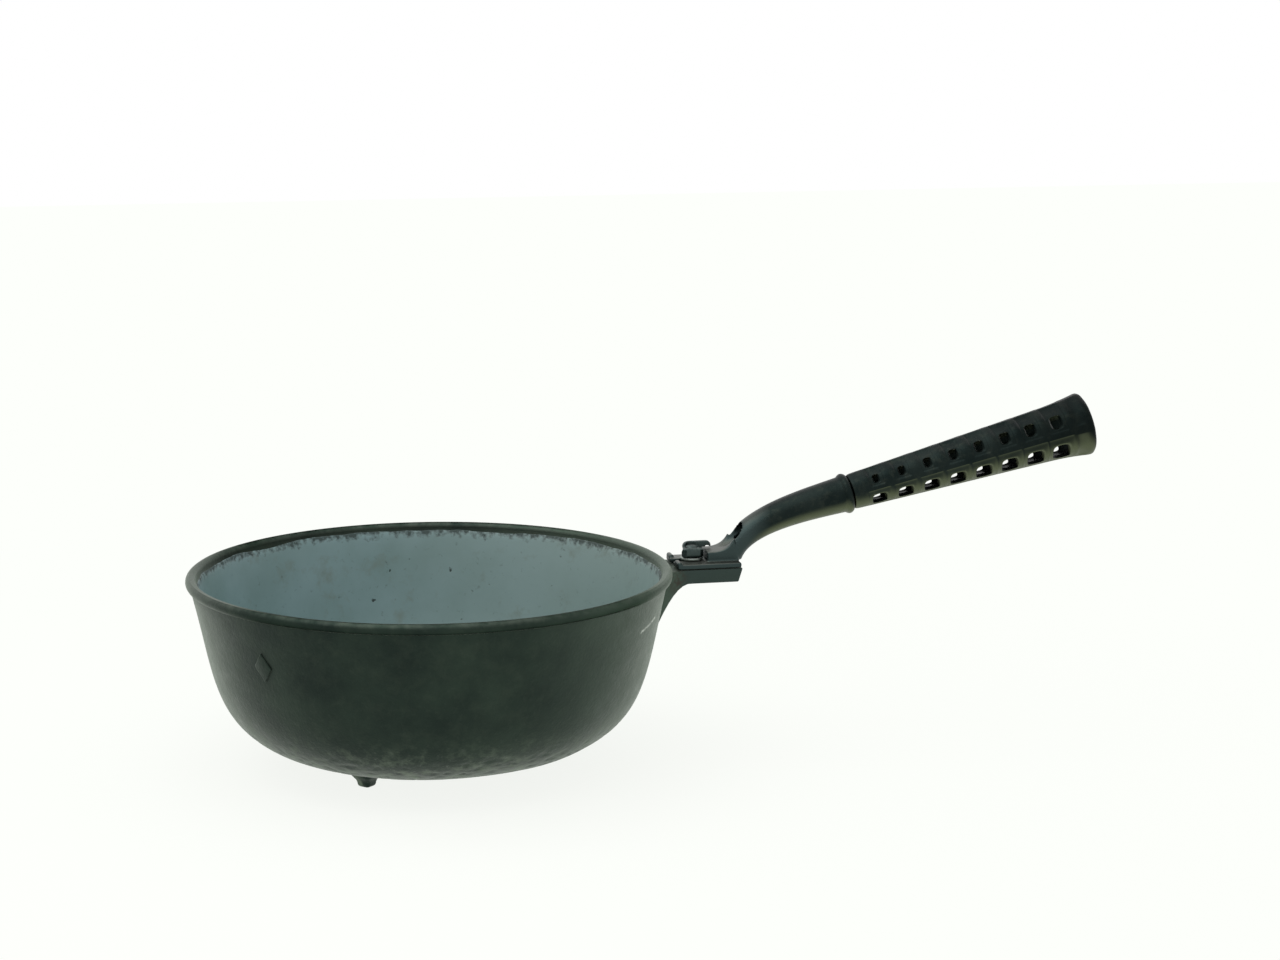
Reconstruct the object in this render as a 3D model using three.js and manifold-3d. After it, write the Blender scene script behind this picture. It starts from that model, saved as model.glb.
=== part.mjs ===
// A footed cast iron pan with an enamelled inside and a hollow, air-cooled handle.
// The handle's foot is clamped on a ledge at the bowl's rim by a thumb nut on a square-headed bolt.
// Millimetres, +Z up, +X along the handle. The origin is on the bowl's axis, at its flat underside.
import * as THREE from "three";
import { mergeVertices } from "three/addons/utils/BufferGeometryUtils.js";
import Module from "manifold-3d";

// Bowl
const RIM_RADIUS = 120;
const RIM_HEIGHT = 92.5;
const BEAD_RADIUS = 2.6;
const RIM_LAND = 1.6;
const WALL = 3.6;
const FLAT_RADIUS = 42;
const BELLY_RADIUS = 109;
const BELLY_RISE = 7;
const SHOULDER_RADIUS = 104;
const SHOULDER_RISE = 30;
const BEAD_ROOT_OUT = 0.26;
const BEAD_ROOT_DOWN = 2.52;
const BOWL_SIDES = 56;
const CURVE_STEPS = 11;

// Enamel inside the bowl
const ENAMEL = 0.6;
const ENAMEL_BELOW_RIM = 5.5;

// Three feet, cast with the bowl
const FOOT_CIRCLE = 52;
const FOOT_HEIGHT = 6;
const FOOT_ROOT = 13;
const FOOT_TIP = 7;
const FOOT_SUNK = 3.4;
const FOOT_BEARINGS = [0, 136, -136];

// Plain raised lozenge on the bowl's side
const MARK_BEARING = -142;
const MARK_HEIGHT = 64.3;
const MARK_WIDE = 11;
const MARK_TALL = 15;
const MARK_PROUD = 0.8;

// Ledge that carries the handle, measured out from the rim's edge and down from its top
const LEDGE_REACH = 36.2;
const LEDGE_BELOW_RIM = 3.6;
const LEDGE_THICK = 7;
const LEDGE_WIDTH = 27;
const LEDGE_UNDERCUT = 2.2;
const WEB_REACH = 14;
const WEB_DROP = 25;
const WEB_BEND_OUT = 9.5;
const WEB_BEND_UP = 1.5;

// Clamp bolt, washer and thumb nut
const BOLT_FROM_RIM = 12.6;
const BOLT_RADIUS = 2.9;
const BOLT_STANDOUT = 1;
const HEAD_SIDE = 9;
const HEAD_THICK = 3;
const WASHER_RADIUS = 5.8;
const WASHER_THICK = 1.2;
const NUT_RADIUS = 4.4;
const NUT_HEIGHT = 4.6;
const EAR_OFFSET = 2.1;
const NEAR_EAR_LENGTH = 11.6;
const NEAR_EAR_HEIGHT = 4.9;
const NEAR_EAR_THICK = 3.2;
const EAR_FLANK_SHARE = 0.45;
const FAR_EAR_BACK = 3.8;
const FAR_EAR_REACH = 10.6;
const FAR_EAR_HEIGHT = 6.9;
const FAR_EAR_DEPTH = 2.3;
const FAR_EAR_THICK = 2.6;
const FAR_EAR_FOOT_BACK = 2.6;
const FAR_EAR_FOOT_FRONT = 4;
const FAR_EAR_FLANK = 7.8;
const FAR_EAR_DROOP = 0.5;
const FAR_EAR_TIP = 0.6;
const FAR_EAR_ROUND = 2.4;

// Foot of the handle
const PLATE_FROM_RIM = 2.6;
const PLATE_SHORT_OF_LEDGE = 0.6;
const PLATE_THICK = 2.4;
const PLATE_WIDTH = 27;
const PLATE_LIP_HEIGHT = 1.5;
const PLATE_LIP_WIDE = 2.4;
const BLOCK_FROM_BOLT = 6.6;
const BLOCK_WIDTH = 16;
const BLOCK_HEIGHT = 4.9;
const BLOCK_LEVEL = 4;
const RAMP_LENGTH = 9.8;
const RAMP_HEIGHT = 6.5;
const RAMP_RISE = 0.6;
const RAMP_SHARE = 0.75;

// Curved hollow arm and its collar
const COLLAR_FROM_RIM = 92.5;
const COLLAR_ABOVE_RIM = 29.7;
const GRIP_SLOPE = 14;
const ARM_BACK = 2.8;
const ARM_SUNK = 4.3;
const ARM_LEAN = 2;
const ARM_RISE = 22;
const ARM_RUN_OUT = 22.6;
const ARM_START_SHARE = 0.08;
const ARM_ROOT_WIDE = 7.4;
const ARM_ROOT_THICK = 5;
const ARM_END_RADIUS = 9.3;
const ARM_WALL = 2.6;
const BORE_START_SHARE = 0.22;
const TROUGH_END_SHARE = 0.45;
const TROUGH_BEND = 13.3;
const TROUGH_MOUTH_WIDE = 5.6;
const TROUGH_MOUTH_THICK = 4.9;
const TROUGH_CLEAR = 0.1;
const ARM_STEPS = 14;
const TROUGH_STEPS = 8;
const ARM_SIDES = 24;
const BORE_SIDES = 16;
const COLLAR_RADIUS = 10.4;
const COLLAR_WIDTH = 4.6;
const SPIGOT_LENGTH = 9;
const SPIGOT_WALL = 1.8;

// Perforated grip
const GRIP_LENGTH = 131.6;
const GRIP_START_RADIUS = 9;
const GRIP_SWELL_RADIUS = 14;
const GRIP_FLARE_LENGTH = 21;
const GRIP_FLARE_START_SLOPE = 0.4;
const GRIP_MOUTH_RADIUS = 16.4;
const GRIP_FLARE_STATIONS = [0, 0.3, 0.6, 0.85, 1];
const GRIP_LIP_LENGTH = 2.6;
const GRIP_LIP_ROUND = 1.2;
const GRIP_WALL = 2.4;
const GRIP_SIDES = 24;
const HOLES_IN_ROW = 8;
const HOLE_FIRST = 15.8;
const HOLE_PITCH = 13.9;

// The two rows of holes, as shares of the grip's radius. The side towards the middle of the grip is level,
// and the other side is drafted: it slopes from its height at the bore to its height outside the grip.
const HOLE_REACH = 1.2;
const HOLE_BORE_HALF = 0.1;
const UPPER_ROW = { level: 0.334, atBore: 0.62, outside: 0.817, length: 0.46 };
const LOWER_ROW = { level: -0.29, atBore: -0.68, outside: -1.19, length: 0.7 };

// Cutters run this far past what they cut, and plain round holes and shanks have this many sides
const CUT_THROUGH = 1;
const ROUND_SIDES = 20;
const NUT_SIDES = 28;
const WASHER_SIDES = 32;
const CLEARANCE_SIDES = 48;

// Clearance between pieces that touch
const GAP = 0.3;

const ledgeEnd = RIM_RADIUS + LEDGE_REACH;
const ledgeTop = RIM_HEIGHT - LEDGE_BELOW_RIM;
const ledgeBottom = ledgeTop - LEDGE_THICK;
const boltX = RIM_RADIUS + BOLT_FROM_RIM;
const plateStart = RIM_RADIUS + PLATE_FROM_RIM;
const plateEnd = ledgeEnd - PLATE_SHORT_OF_LEDGE;
const plateBottom = ledgeTop + GAP;
const plateTop = plateBottom + PLATE_THICK;
const washerBottom = plateTop + GAP;
const nutBottom = washerBottom + WASHER_THICK + GAP;
const nutTop = nutBottom + NUT_HEIGHT;
const blockStart = boltX + BLOCK_FROM_BOLT;
const blockTop = plateTop + BLOCK_HEIGHT;
const collarX = RIM_RADIUS + COLLAR_FROM_RIM;
const collarZ = RIM_HEIGHT + COLLAR_ABOVE_RIM;

const radians = THREE.MathUtils.degToRad;
const wasm = await Module();
wasm.setup();

// A closed solid from a geometry: shared corners are merged and slivers on an axis dropped.
function solid(geometry) {
  const bare = geometry.clone();
  bare.deleteAttribute("normal");
  bare.deleteAttribute("uv");
  const merged = mergeVertices(bare, 1e-3);
  const index = merged.index.array;
  const corners = [];
  for (let i = 0; i < index.length; i += 3) {
    const [a, b, c] = [index[i], index[i + 1], index[i + 2]];
    if (a !== b && b !== c && c !== a) {
      corners.push(a, b, c);
    }
  }
  return new wasm.Manifold(new wasm.Mesh({
    numProp: 3,
    vertProperties: new Float32Array(merged.attributes.position.array),
    triVerts: new Uint32Array(corners),
  }));
}

function pieceMesh(name, body, material) {
  const { vertProperties, triVerts } = body.getMesh();
  const geometry = new THREE.BufferGeometry();
  geometry.setAttribute("position", new THREE.BufferAttribute(vertProperties, 3));
  geometry.setIndex(new THREE.BufferAttribute(triVerts, 1));
  geometry.computeVertexNormals();
  const mesh = new THREE.Mesh(geometry, material);
  mesh.name = name;
  return mesh;
}

// Turned about +Z from [radius, height] points that run anticlockwise in section.
function turned(points, sides) {
  const outline = points.map(([radius, height]) => new THREE.Vector2(radius, height));
  const geometry = new THREE.LatheGeometry(outline, sides);
  return geometry.rotateX(Math.PI / 2);
}

// A side view in X and Z, extruded over a width that is centred on the handle's plane.
function sideExtrusion(shape, width, curveSegments = 8) {
  const geometry = new THREE.ExtrudeGeometry(shape, { depth: width, bevelEnabled: false, curveSegments });
  return geometry.rotateX(Math.PI / 2).translate(0, width / 2, 0);
}

function box(width, depth, height, x, y, z) {
  return new THREE.BoxGeometry(width, depth, height).translate(x, y, z);
}

function upright(radius, bottom, top, sides, x = 0) {
  const geometry = new THREE.CylinderGeometry(radius, radius, top - bottom, sides);
  return geometry.rotateX(Math.PI / 2).translate(x, 0, (bottom + top) / 2);
}

const castIron = new THREE.MeshStandardMaterial({ color: 0x2b3330, roughness: 0.62, metalness: 0.55 });
const handleIron = new THREE.MeshStandardMaterial({ color: 0x1f2826, roughness: 0.45, metalness: 0.55 });
const enamelBlue = new THREE.MeshStandardMaterial({ color: 0x75848a, roughness: 0.3, metalness: 0 });
const clampSteel = new THREE.MeshStandardMaterial({ color: 0x2c3432, roughness: 0.5, metalness: 0.7 });

// Bowl side: one smooth curve from the flat underside to the bead under the rim.
const beadCentre = [RIM_RADIUS - BEAD_RADIUS, RIM_HEIGHT - BEAD_RADIUS];
const side = new THREE.CubicBezierCurve(
  new THREE.Vector2(FLAT_RADIUS, 0),
  new THREE.Vector2(BELLY_RADIUS, BELLY_RISE),
  new THREE.Vector2(SHOULDER_RADIUS, SHOULDER_RISE),
  new THREE.Vector2(beadCentre[0] + BEAD_ROOT_OUT, beadCentre[1] - BEAD_ROOT_DOWN),
);

// Where on the curve, from 0 to 1, the side reaches a height.
function sideShare(height) {
  let low = 0;
  let high = 1;
  for (let i = 0; i < 40; i += 1) {
    const middle = (low + high) / 2;
    if (side.getPoint(middle).y < height) {
      low = middle;
    } else {
      high = middle;
    }
  }
  return low;
}

// Outer radius of the bowl and the lean of its wall, at a height.
function wallAt(height) {
  const share = sideShare(height);
  const along = side.getTangent(share);
  return { radius: side.getPoint(share).x, lean: Math.atan2(along.x, along.y) };
}

// Points of the side moved inwards by a depth, from the flat up to a share of the curve.
function sideOffset(depth, topShare = 1) {
  const points = [];
  for (let i = 0; i <= CURVE_STEPS; i += 1) {
    const share = (topShare * i) / CURVE_STEPS;
    const at = side.getPoint(share);
    const along = side.getTangent(share);
    points.push([at.x - along.y * depth, at.y + along.x * depth]);
  }
  return points;
}

function bowlShell() {
  const bead = [];
  for (const angle of [-45, -10, 20, 50]) {
    bead.push([
      beadCentre[0] + BEAD_RADIUS * Math.cos(radians(angle)),
      beadCentre[1] + BEAD_RADIUS * Math.sin(radians(angle)),
    ]);
  }
  const rim = [
    [beadCentre[0] + RIM_LAND / 2, RIM_HEIGHT],
    [beadCentre[0] - RIM_LAND / 2, RIM_HEIGHT],
    [beadCentre[0] - BEAD_RADIUS, beadCentre[1]],
  ];
  const inside = sideOffset(WALL).slice(0, -1).reverse();
  return turned([[0, 0], ...sideOffset(0), ...bead, ...rim, ...inside, [0, WALL]], BOWL_SIDES);
}

function foot(bearing) {
  const height = FOOT_HEIGHT + FOOT_SUNK;
  const half = Math.SQRT1_2;
  const block = new THREE.CylinderGeometry(FOOT_ROOT * half, FOOT_TIP * half, height, 4);
  block.rotateY(Math.PI / 4).rotateX(Math.PI / 2);
  block.translate(FOOT_CIRCLE, 0, height / 2 - FOOT_HEIGHT);
  return block.rotateZ(radians(bearing));
}

function lozengeMark() {
  const wall = wallAt(MARK_HEIGHT);
  const shape = new THREE.Shape();
  shape.moveTo(-MARK_WIDE / 2, 0);
  shape.lineTo(0, -MARK_TALL / 2);
  shape.lineTo(MARK_WIDE / 2, 0);
  shape.lineTo(0, MARK_TALL / 2);
  const pad = new THREE.ExtrudeGeometry(shape, { depth: WALL / 2 + MARK_PROUD, bevelEnabled: false });
  pad.translate(0, 0, -WALL / 2).rotateX(Math.PI / 2).rotateZ(Math.PI / 2);
  pad.rotateY(wall.lean).translate(wall.radius, 0, MARK_HEIGHT);
  return pad.rotateZ(radians(MARK_BEARING));
}

function ledge() {
  const webBottom = ledgeBottom - WEB_DROP;
  const buried = WALL / 2;
  const shape = new THREE.Shape();
  shape.moveTo(wallAt(ledgeTop).radius - buried, ledgeTop);
  shape.lineTo(wallAt(webBottom).radius - buried, webBottom);
  shape.quadraticCurveTo(
    wallAt(webBottom).radius + WEB_BEND_OUT, ledgeBottom + WEB_BEND_UP,
    wallAt(ledgeBottom).radius + WEB_REACH, ledgeBottom,
  );
  shape.lineTo(ledgeEnd - LEDGE_UNDERCUT, ledgeBottom);
  shape.lineTo(ledgeEnd, ledgeTop);
  return sideExtrusion(shape, LEDGE_WIDTH);
}

function bowl() {
  let body = solid(bowlShell()).add(solid(ledge())).add(solid(lozengeMark()));
  for (const bearing of FOOT_BEARINGS) {
    body = body.add(solid(foot(bearing)));
  }
  const holeRadius = BOLT_RADIUS + GAP;
  const hole = upright(holeRadius, ledgeBottom - CUT_THROUGH, ledgeTop + CUT_THROUGH, ROUND_SIDES, boltX);
  const recess = HEAD_SIDE + 2 * GAP;
  const recessTop = ledgeBottom + HEAD_THICK + 2 * GAP;
  const recessDeep = recessTop - ledgeBottom + CUT_THROUGH;
  const pocket = box(recess, recess, recessDeep, boltX, 0, recessTop - recessDeep / 2);
  body = body.subtract(solid(hole)).subtract(solid(pocket));
  return pieceMesh("bowl", body, castIron);
}

// Enamel coat on the whole inside, ending in a bare iron band below the rim.
function enamelLining() {
  const topShare = sideShare(RIM_HEIGHT - ENAMEL_BELOW_RIM);
  const outer = sideOffset(WALL + GAP, topShare);
  const inner = sideOffset(WALL + GAP + ENAMEL, topShare);
  const points = [[0, WALL + GAP], ...outer, ...inner.reverse(), [0, WALL + GAP + ENAMEL]];
  return pieceMesh("enamel_lining", solid(turned(points, BOWL_SIDES)), enamelBlue);
}

// Bolt with a square head, held from turning in its recess under the ledge.
function clampBolt() {
  const headBottom = ledgeBottom + GAP;
  const head = box(HEAD_SIDE, HEAD_SIDE, HEAD_THICK, boltX, 0, headBottom + HEAD_THICK / 2);
  const shank = upright(BOLT_RADIUS, headBottom, nutTop + BOLT_STANDOUT, ROUND_SIDES, boltX);
  return pieceMesh("clamp_bolt", solid(head).add(solid(shank)), clampSteel);
}

function clampWasher() {
  const disc = solid(upright(WASHER_RADIUS, 0, WASHER_THICK, WASHER_SIDES));
  const hole = solid(upright(BOLT_RADIUS + GAP, -CUT_THROUGH, WASHER_THICK + CUT_THROUGH, ROUND_SIDES));
  const washer = pieceMesh("clamp_washer", disc.subtract(hole), clampSteel);
  washer.position.set(boltX, 0, washerBottom);
  return washer;
}

// Nut with two upright ears for finger and thumb. The far one is longer and hooks over at its end.
// Below the top of the handle's block the ears are turned down, so that they pass it.
function thumbNut() {
  const half = NEAR_EAR_LENGTH / 2;
  const shoulder = half * EAR_FLANK_SHARE;
  const flank = NEAR_EAR_HEIGHT * EAR_FLANK_SHARE;
  const nearEar = new THREE.Shape();
  nearEar.moveTo(-half, 0);
  nearEar.lineTo(half, 0);
  nearEar.lineTo(half, flank);
  nearEar.quadraticCurveTo(half, NEAR_EAR_HEIGHT, shoulder, NEAR_EAR_HEIGHT);
  nearEar.lineTo(-shoulder, NEAR_EAR_HEIGHT);
  nearEar.quadraticCurveTo(-half, NEAR_EAR_HEIGHT, -half, flank);

  const overhang = FAR_EAR_HEIGHT - FAR_EAR_DEPTH;
  const droop = overhang - FAR_EAR_DROOP;
  const farEar = new THREE.Shape();
  farEar.moveTo(-FAR_EAR_BACK, droop);
  farEar.lineTo(-FAR_EAR_FOOT_BACK, 0);
  farEar.lineTo(FAR_EAR_FOOT_FRONT, 0);
  farEar.lineTo(FAR_EAR_FLANK, droop);
  farEar.lineTo(FAR_EAR_FLANK, overhang);
  farEar.lineTo(FAR_EAR_REACH - FAR_EAR_TIP - FAR_EAR_DROOP, overhang);
  farEar.lineTo(FAR_EAR_REACH - FAR_EAR_TIP, droop);
  farEar.lineTo(FAR_EAR_REACH, droop);
  farEar.quadraticCurveTo(FAR_EAR_REACH, FAR_EAR_HEIGHT, FAR_EAR_REACH - FAR_EAR_ROUND, FAR_EAR_HEIGHT);
  farEar.lineTo(0, FAR_EAR_HEIGHT);
  farEar.quadraticCurveTo(-FAR_EAR_BACK, FAR_EAR_HEIGHT, -FAR_EAR_BACK, droop);

  const nearY = -EAR_OFFSET - NEAR_EAR_THICK / 2;
  const farY = EAR_OFFSET + FAR_EAR_THICK / 2;
  const pastBlock = BLOCK_FROM_BOLT - GAP;
  const overBlock = blockTop + RAMP_RISE + GAP - nutBottom;
  const wide = 2 * FAR_EAR_REACH;
  const clearance = [
    [pastBlock, -CUT_THROUGH], [wide, -CUT_THROUGH], [wide, overBlock], [pastBlock, overBlock],
    [pastBlock, -CUT_THROUGH],
  ];
  let body = solid(upright(NUT_RADIUS, 0, NUT_HEIGHT, NUT_SIDES));
  body = body.add(solid(sideExtrusion(nearEar, NEAR_EAR_THICK, 4).translate(0, nearY, 0)));
  body = body.add(solid(sideExtrusion(farEar, FAR_EAR_THICK, 4).translate(0, farY, 0)));
  const hole = upright(BOLT_RADIUS + GAP, -CUT_THROUGH, FAR_EAR_HEIGHT + CUT_THROUGH, ROUND_SIDES);
  body = body.subtract(solid(turned(clearance, CLEARANCE_SIDES))).subtract(solid(hole));
  const nut = pieceMesh("thumb_nut", body, clampSteel);
  nut.position.set(boltX, 0, nutBottom);
  return nut;
}

// Middle line of the arm: it rises steeply out of the foot and runs out along the grip's slope.
const armRoot = new THREE.Vector3(plateEnd - ARM_BACK, 0, plateTop - ARM_SUNK);
const armRise = new THREE.Vector3(armRoot.x - ARM_LEAN, 0, armRoot.z + ARM_RISE);
const armEnd = new THREE.Vector3(collarX, 0, collarZ);
const slope = radians(GRIP_SLOPE);
const armRunOut = new THREE.Vector3(
  armEnd.x - ARM_RUN_OUT * Math.cos(slope), 0, armEnd.z - ARM_RUN_OUT * Math.sin(slope),
);
const armLine = new THREE.CubicBezierCurve3(armRoot, armRise, armRunOut, armEnd);

// Line of the open trough where the hollow breaks out of the arm above the block, towards the bowl.
const troughEnd = armLine.getPoint(TROUGH_END_SHARE);
const troughHeight = blockTop + TROUGH_MOUTH_THICK + TROUGH_CLEAR;
const troughLine = new THREE.QuadraticBezierCurve3(
  new THREE.Vector3(blockStart + BLOCK_LEVEL / 2, 0, troughHeight),
  new THREE.Vector3(blockStart + TROUGH_BEND, 0, troughHeight),
  troughEnd,
);

// An oval bar along part of a line in the handle's plane: a cylinder bent on to it.
function bentBar(line, fromShare, toShare, halfWide, halfThick, steps, sides) {
  const bar = new THREE.CylinderGeometry(1, 1, 1, sides, steps);
  const corner = bar.attributes.position;
  for (let i = 0; i < corner.count; i += 1) {
    const t = blend(fromShare, toShare, corner.getY(i) + 0.5);
    const at = line.getPoint(t);
    const along = line.getTangent(t);
    const across = corner.getX(i) * halfWide(t);
    const up = corner.getZ(i) * halfThick(t);
    corner.setXYZ(i, at.x - along.z * up, -across, at.z + along.x * up);
  }
  return bar;
}

function blend(from, to, t) {
  return from + (to - from) * t;
}

// From a frame with +X along the grip and its origin at the collar, to the part's frame.
function toGrip(geometry) {
  return geometry.rotateY(-slope).translate(collarX, 0, collarZ);
}

function turnedAlongX(points, sides) {
  return turned(points, sides).rotateY(Math.PI / 2);
}

const spigotRadius = GRIP_START_RADIUS - GRIP_WALL - GAP;
const spigotBore = spigotRadius - SPIGOT_WALL;

// Block on the plate: level at first, then a ramp that sweeps up into the arm.
function footBlock() {
  const sunk = plateBottom + PLATE_THICK / 2;
  const rampFoot = blockStart + BLOCK_LEVEL;
  const rampHead = new THREE.Vector2(rampFoot + RAMP_LENGTH, blockTop + RAMP_HEIGHT);
  const shape = new THREE.Shape();
  shape.moveTo(blockStart, sunk);
  shape.lineTo(plateEnd, sunk);
  shape.lineTo(plateEnd, plateTop);
  shape.lineTo(rampHead.x, rampHead.y);
  shape.quadraticCurveTo(blend(rampFoot, rampHead.x, RAMP_SHARE), blockTop + RAMP_RISE, rampFoot, blockTop);
  shape.lineTo(blockStart, blockTop);
  return sideExtrusion(shape, BLOCK_WIDTH);
}

// Flat plate with a raised lip towards the rim, forked round the bolt. The lip is cut away for the washer.
function footPlate() {
  const slotWidth = 2 * (BOLT_RADIUS + GAP);
  const plate = box(
    plateEnd - plateStart, PLATE_WIDTH, PLATE_THICK,
    (plateStart + plateEnd) / 2, 0, (plateBottom + plateTop) / 2,
  );
  const lipTop = plateTop + PLATE_LIP_HEIGHT;
  const lip = box(
    PLATE_LIP_WIDE, PLATE_WIDTH, lipTop - plateBottom,
    plateStart + PLATE_LIP_WIDE / 2, 0, (plateBottom + lipTop) / 2,
  );
  const slotOpen = plateStart - CUT_THROUGH;
  const slotBottom = plateBottom - CUT_THROUGH;
  const slotTop = lipTop + CUT_THROUGH;
  const slot = box(
    boltX - slotOpen, slotWidth, slotTop - slotBottom,
    (boltX + slotOpen) / 2, 0, (slotBottom + slotTop) / 2,
  );
  const slotEnd = upright(slotWidth / 2, slotBottom, slotTop, ROUND_SIDES, boltX);
  const washerWay = box(
    boltX - slotOpen, 2 * (WASHER_RADIUS + GAP), slotTop - plateTop,
    (boltX + slotOpen) / 2, 0, (slotTop + plateTop) / 2,
  );
  const body = solid(plate).add(solid(lip)).subtract(solid(washerWay));
  return body.subtract(solid(slot)).subtract(solid(slotEnd));
}

function handleArm() {
  const wide = (t) => blend(ARM_ROOT_WIDE, ARM_END_RADIUS, t);
  const thick = (t) => blend(ARM_ROOT_THICK, ARM_END_RADIUS, t);
  const boreWide = (t) => wide(t) - ARM_WALL;
  const boreThick = (t) => thick(t) - ARM_WALL;
  const troughWide = (t) => blend(TROUGH_MOUTH_WIDE, boreWide(TROUGH_END_SHARE), t);
  const troughThick = (t) => blend(TROUGH_MOUTH_THICK, boreThick(TROUGH_END_SHARE), t);
  const bar = bentBar(armLine, ARM_START_SHARE, 1, wide, thick, ARM_STEPS, ARM_SIDES);
  const bore = bentBar(armLine, BORE_START_SHARE, 1, boreWide, boreThick, ARM_STEPS, BORE_SIDES);
  const trough = bentBar(troughLine, 0, 1, troughWide, troughThick, TROUGH_STEPS, BORE_SIDES);
  const collar = turnedAlongX([
    [0, -COLLAR_WIDTH / 2],
    [ARM_END_RADIUS, -COLLAR_WIDTH / 2],
    [COLLAR_RADIUS, -COLLAR_WIDTH / 5],
    [COLLAR_RADIUS, COLLAR_WIDTH / 5],
    [ARM_END_RADIUS, COLLAR_WIDTH / 2],
    [spigotRadius, COLLAR_WIDTH / 2],
    [spigotRadius, COLLAR_WIDTH / 2 + SPIGOT_LENGTH],
    [0, COLLAR_WIDTH / 2 + SPIGOT_LENGTH],
  ], ARM_SIDES);
  const throughLength = 2 * (COLLAR_WIDTH + SPIGOT_LENGTH);
  const through = new THREE.CylinderGeometry(spigotBore, spigotBore, throughLength, ROUND_SIDES);
  through.rotateZ(Math.PI / 2).translate(throughLength / 2 - COLLAR_WIDTH, 0, 0);
  let body = footPlate().add(solid(footBlock())).add(solid(bar)).add(solid(toGrip(collar)));
  body = body.subtract(solid(bore)).subtract(solid(trough)).subtract(solid(toGrip(through)));
  return pieceMesh("handle_arm", body, handleIron);
}

const lipStart = GRIP_LENGTH - GRIP_LIP_LENGTH;
const flareStart = lipStart - GRIP_FLARE_LENGTH;

// Outer radius of the grip at a distance from the collar, up to its lip.
function gripRadius(along) {
  if (along <= flareStart) {
    return blend(GRIP_START_RADIUS, GRIP_SWELL_RADIUS, along / flareStart);
  }
  const flare = (along - flareStart) / GRIP_FLARE_LENGTH;
  const bend = flare * blend(GRIP_FLARE_START_SLOPE, 1, flare);
  return blend(GRIP_SWELL_RADIUS, GRIP_MOUTH_RADIUS, bend);
}

// Tapering sleeve with a flared mouth, whose outer corner is rounded over.
function gripShell() {
  const start = COLLAR_WIDTH / 2 + GAP;
  const flares = GRIP_FLARE_STATIONS.map((share) => flareStart + GRIP_FLARE_LENGTH * share);
  const stations = [start, ...flares];
  const outer = stations.map((along) => [gripRadius(along), along]);
  const inner = stations.map((along) => [gripRadius(along) - GRIP_WALL, along]).reverse();
  const lip = [
    [GRIP_MOUTH_RADIUS - GRIP_LIP_ROUND / 4, lipStart + GRIP_LIP_LENGTH / 2],
    [GRIP_MOUTH_RADIUS - GRIP_LIP_ROUND, GRIP_LENGTH],
    [GRIP_MOUTH_RADIUS - GRIP_WALL, GRIP_LENGTH],
  ];
  return turnedAlongX([...outer, ...lip, ...inner, outer[0]], GRIP_SIDES);
}

// One cut straight through the grip from side to side: it makes a hole in each wall.
function holeCutter(along, row) {
  const radius = gripRadius(along);
  const length = radius * row.length;
  const shape = new THREE.Shape();
  shape.moveTo(-HOLE_REACH * radius, row.level * radius);
  shape.lineTo(-HOLE_REACH * radius, row.outside * radius);
  shape.lineTo(-HOLE_BORE_HALF * radius, row.atBore * radius);
  shape.lineTo(HOLE_BORE_HALF * radius, row.atBore * radius);
  shape.lineTo(HOLE_REACH * radius, row.outside * radius);
  shape.lineTo(HOLE_REACH * radius, row.level * radius);
  const cutter = new THREE.ExtrudeGeometry(shape, { depth: length, bevelEnabled: false });
  return cutter.rotateX(Math.PI / 2).rotateZ(Math.PI / 2).translate(along - length / 2, 0, 0);
}

function handleGrip() {
  let body = solid(gripShell());
  for (const row of [UPPER_ROW, LOWER_ROW]) {
    for (let i = 0; i < HOLES_IN_ROW; i += 1) {
      body = body.subtract(solid(holeCutter(HOLE_FIRST + i * HOLE_PITCH, row)));
    }
  }
  const grip = pieceMesh("handle_grip", body, handleIron);
  grip.position.set(collarX, 0, collarZ);
  grip.rotation.y = -slope;
  return grip;
}

const pan = new THREE.Group();
const clamp = new THREE.Group();
clamp.add(clampBolt(), clampWasher(), thumbNut());
const handle = new THREE.Group();
handle.add(handleArm(), handleGrip());
pan.add(bowl(), enamelLining(), clamp, handle);

export default pan;
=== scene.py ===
import math
import bmesh
import bpy
from mathutils import Matrix, Vector, noise


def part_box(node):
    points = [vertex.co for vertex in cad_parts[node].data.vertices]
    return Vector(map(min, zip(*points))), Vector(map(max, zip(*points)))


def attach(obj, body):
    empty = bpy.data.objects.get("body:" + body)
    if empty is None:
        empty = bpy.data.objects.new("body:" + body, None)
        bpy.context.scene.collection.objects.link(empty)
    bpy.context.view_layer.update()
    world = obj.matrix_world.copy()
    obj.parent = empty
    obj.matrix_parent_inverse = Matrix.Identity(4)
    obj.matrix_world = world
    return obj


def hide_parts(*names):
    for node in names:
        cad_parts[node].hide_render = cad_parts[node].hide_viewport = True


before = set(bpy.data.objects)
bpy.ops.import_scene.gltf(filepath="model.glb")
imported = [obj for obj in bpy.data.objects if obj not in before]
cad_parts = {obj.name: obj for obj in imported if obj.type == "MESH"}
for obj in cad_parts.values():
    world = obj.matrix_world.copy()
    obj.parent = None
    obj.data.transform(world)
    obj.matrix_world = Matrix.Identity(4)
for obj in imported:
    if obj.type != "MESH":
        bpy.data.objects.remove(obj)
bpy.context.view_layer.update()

# Bowl: one thin casting of grey iron with a beaded rim, a flat underside, three stub feet, a plain raised
# lozenge on its side and a ledge with a web for the handle. It was cast in sand and has blackened in use.
MM = 0.001
bowl_low, bowl_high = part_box("bowl")
RIM_RADIUS = 120
RIM_HEIGHT = bowl_high.z / MM
BEAD_RADIUS = 2.6
RIM_LAND = 1.6
WALL = 3.6
SIDE_STEPS = 84
BOWL_TURNS = 380
BEAD_CENTRE = Vector((RIM_RADIUS - BEAD_RADIUS, RIM_HEIGHT - BEAD_RADIUS))
FLAT_RADIUS = 42
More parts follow.
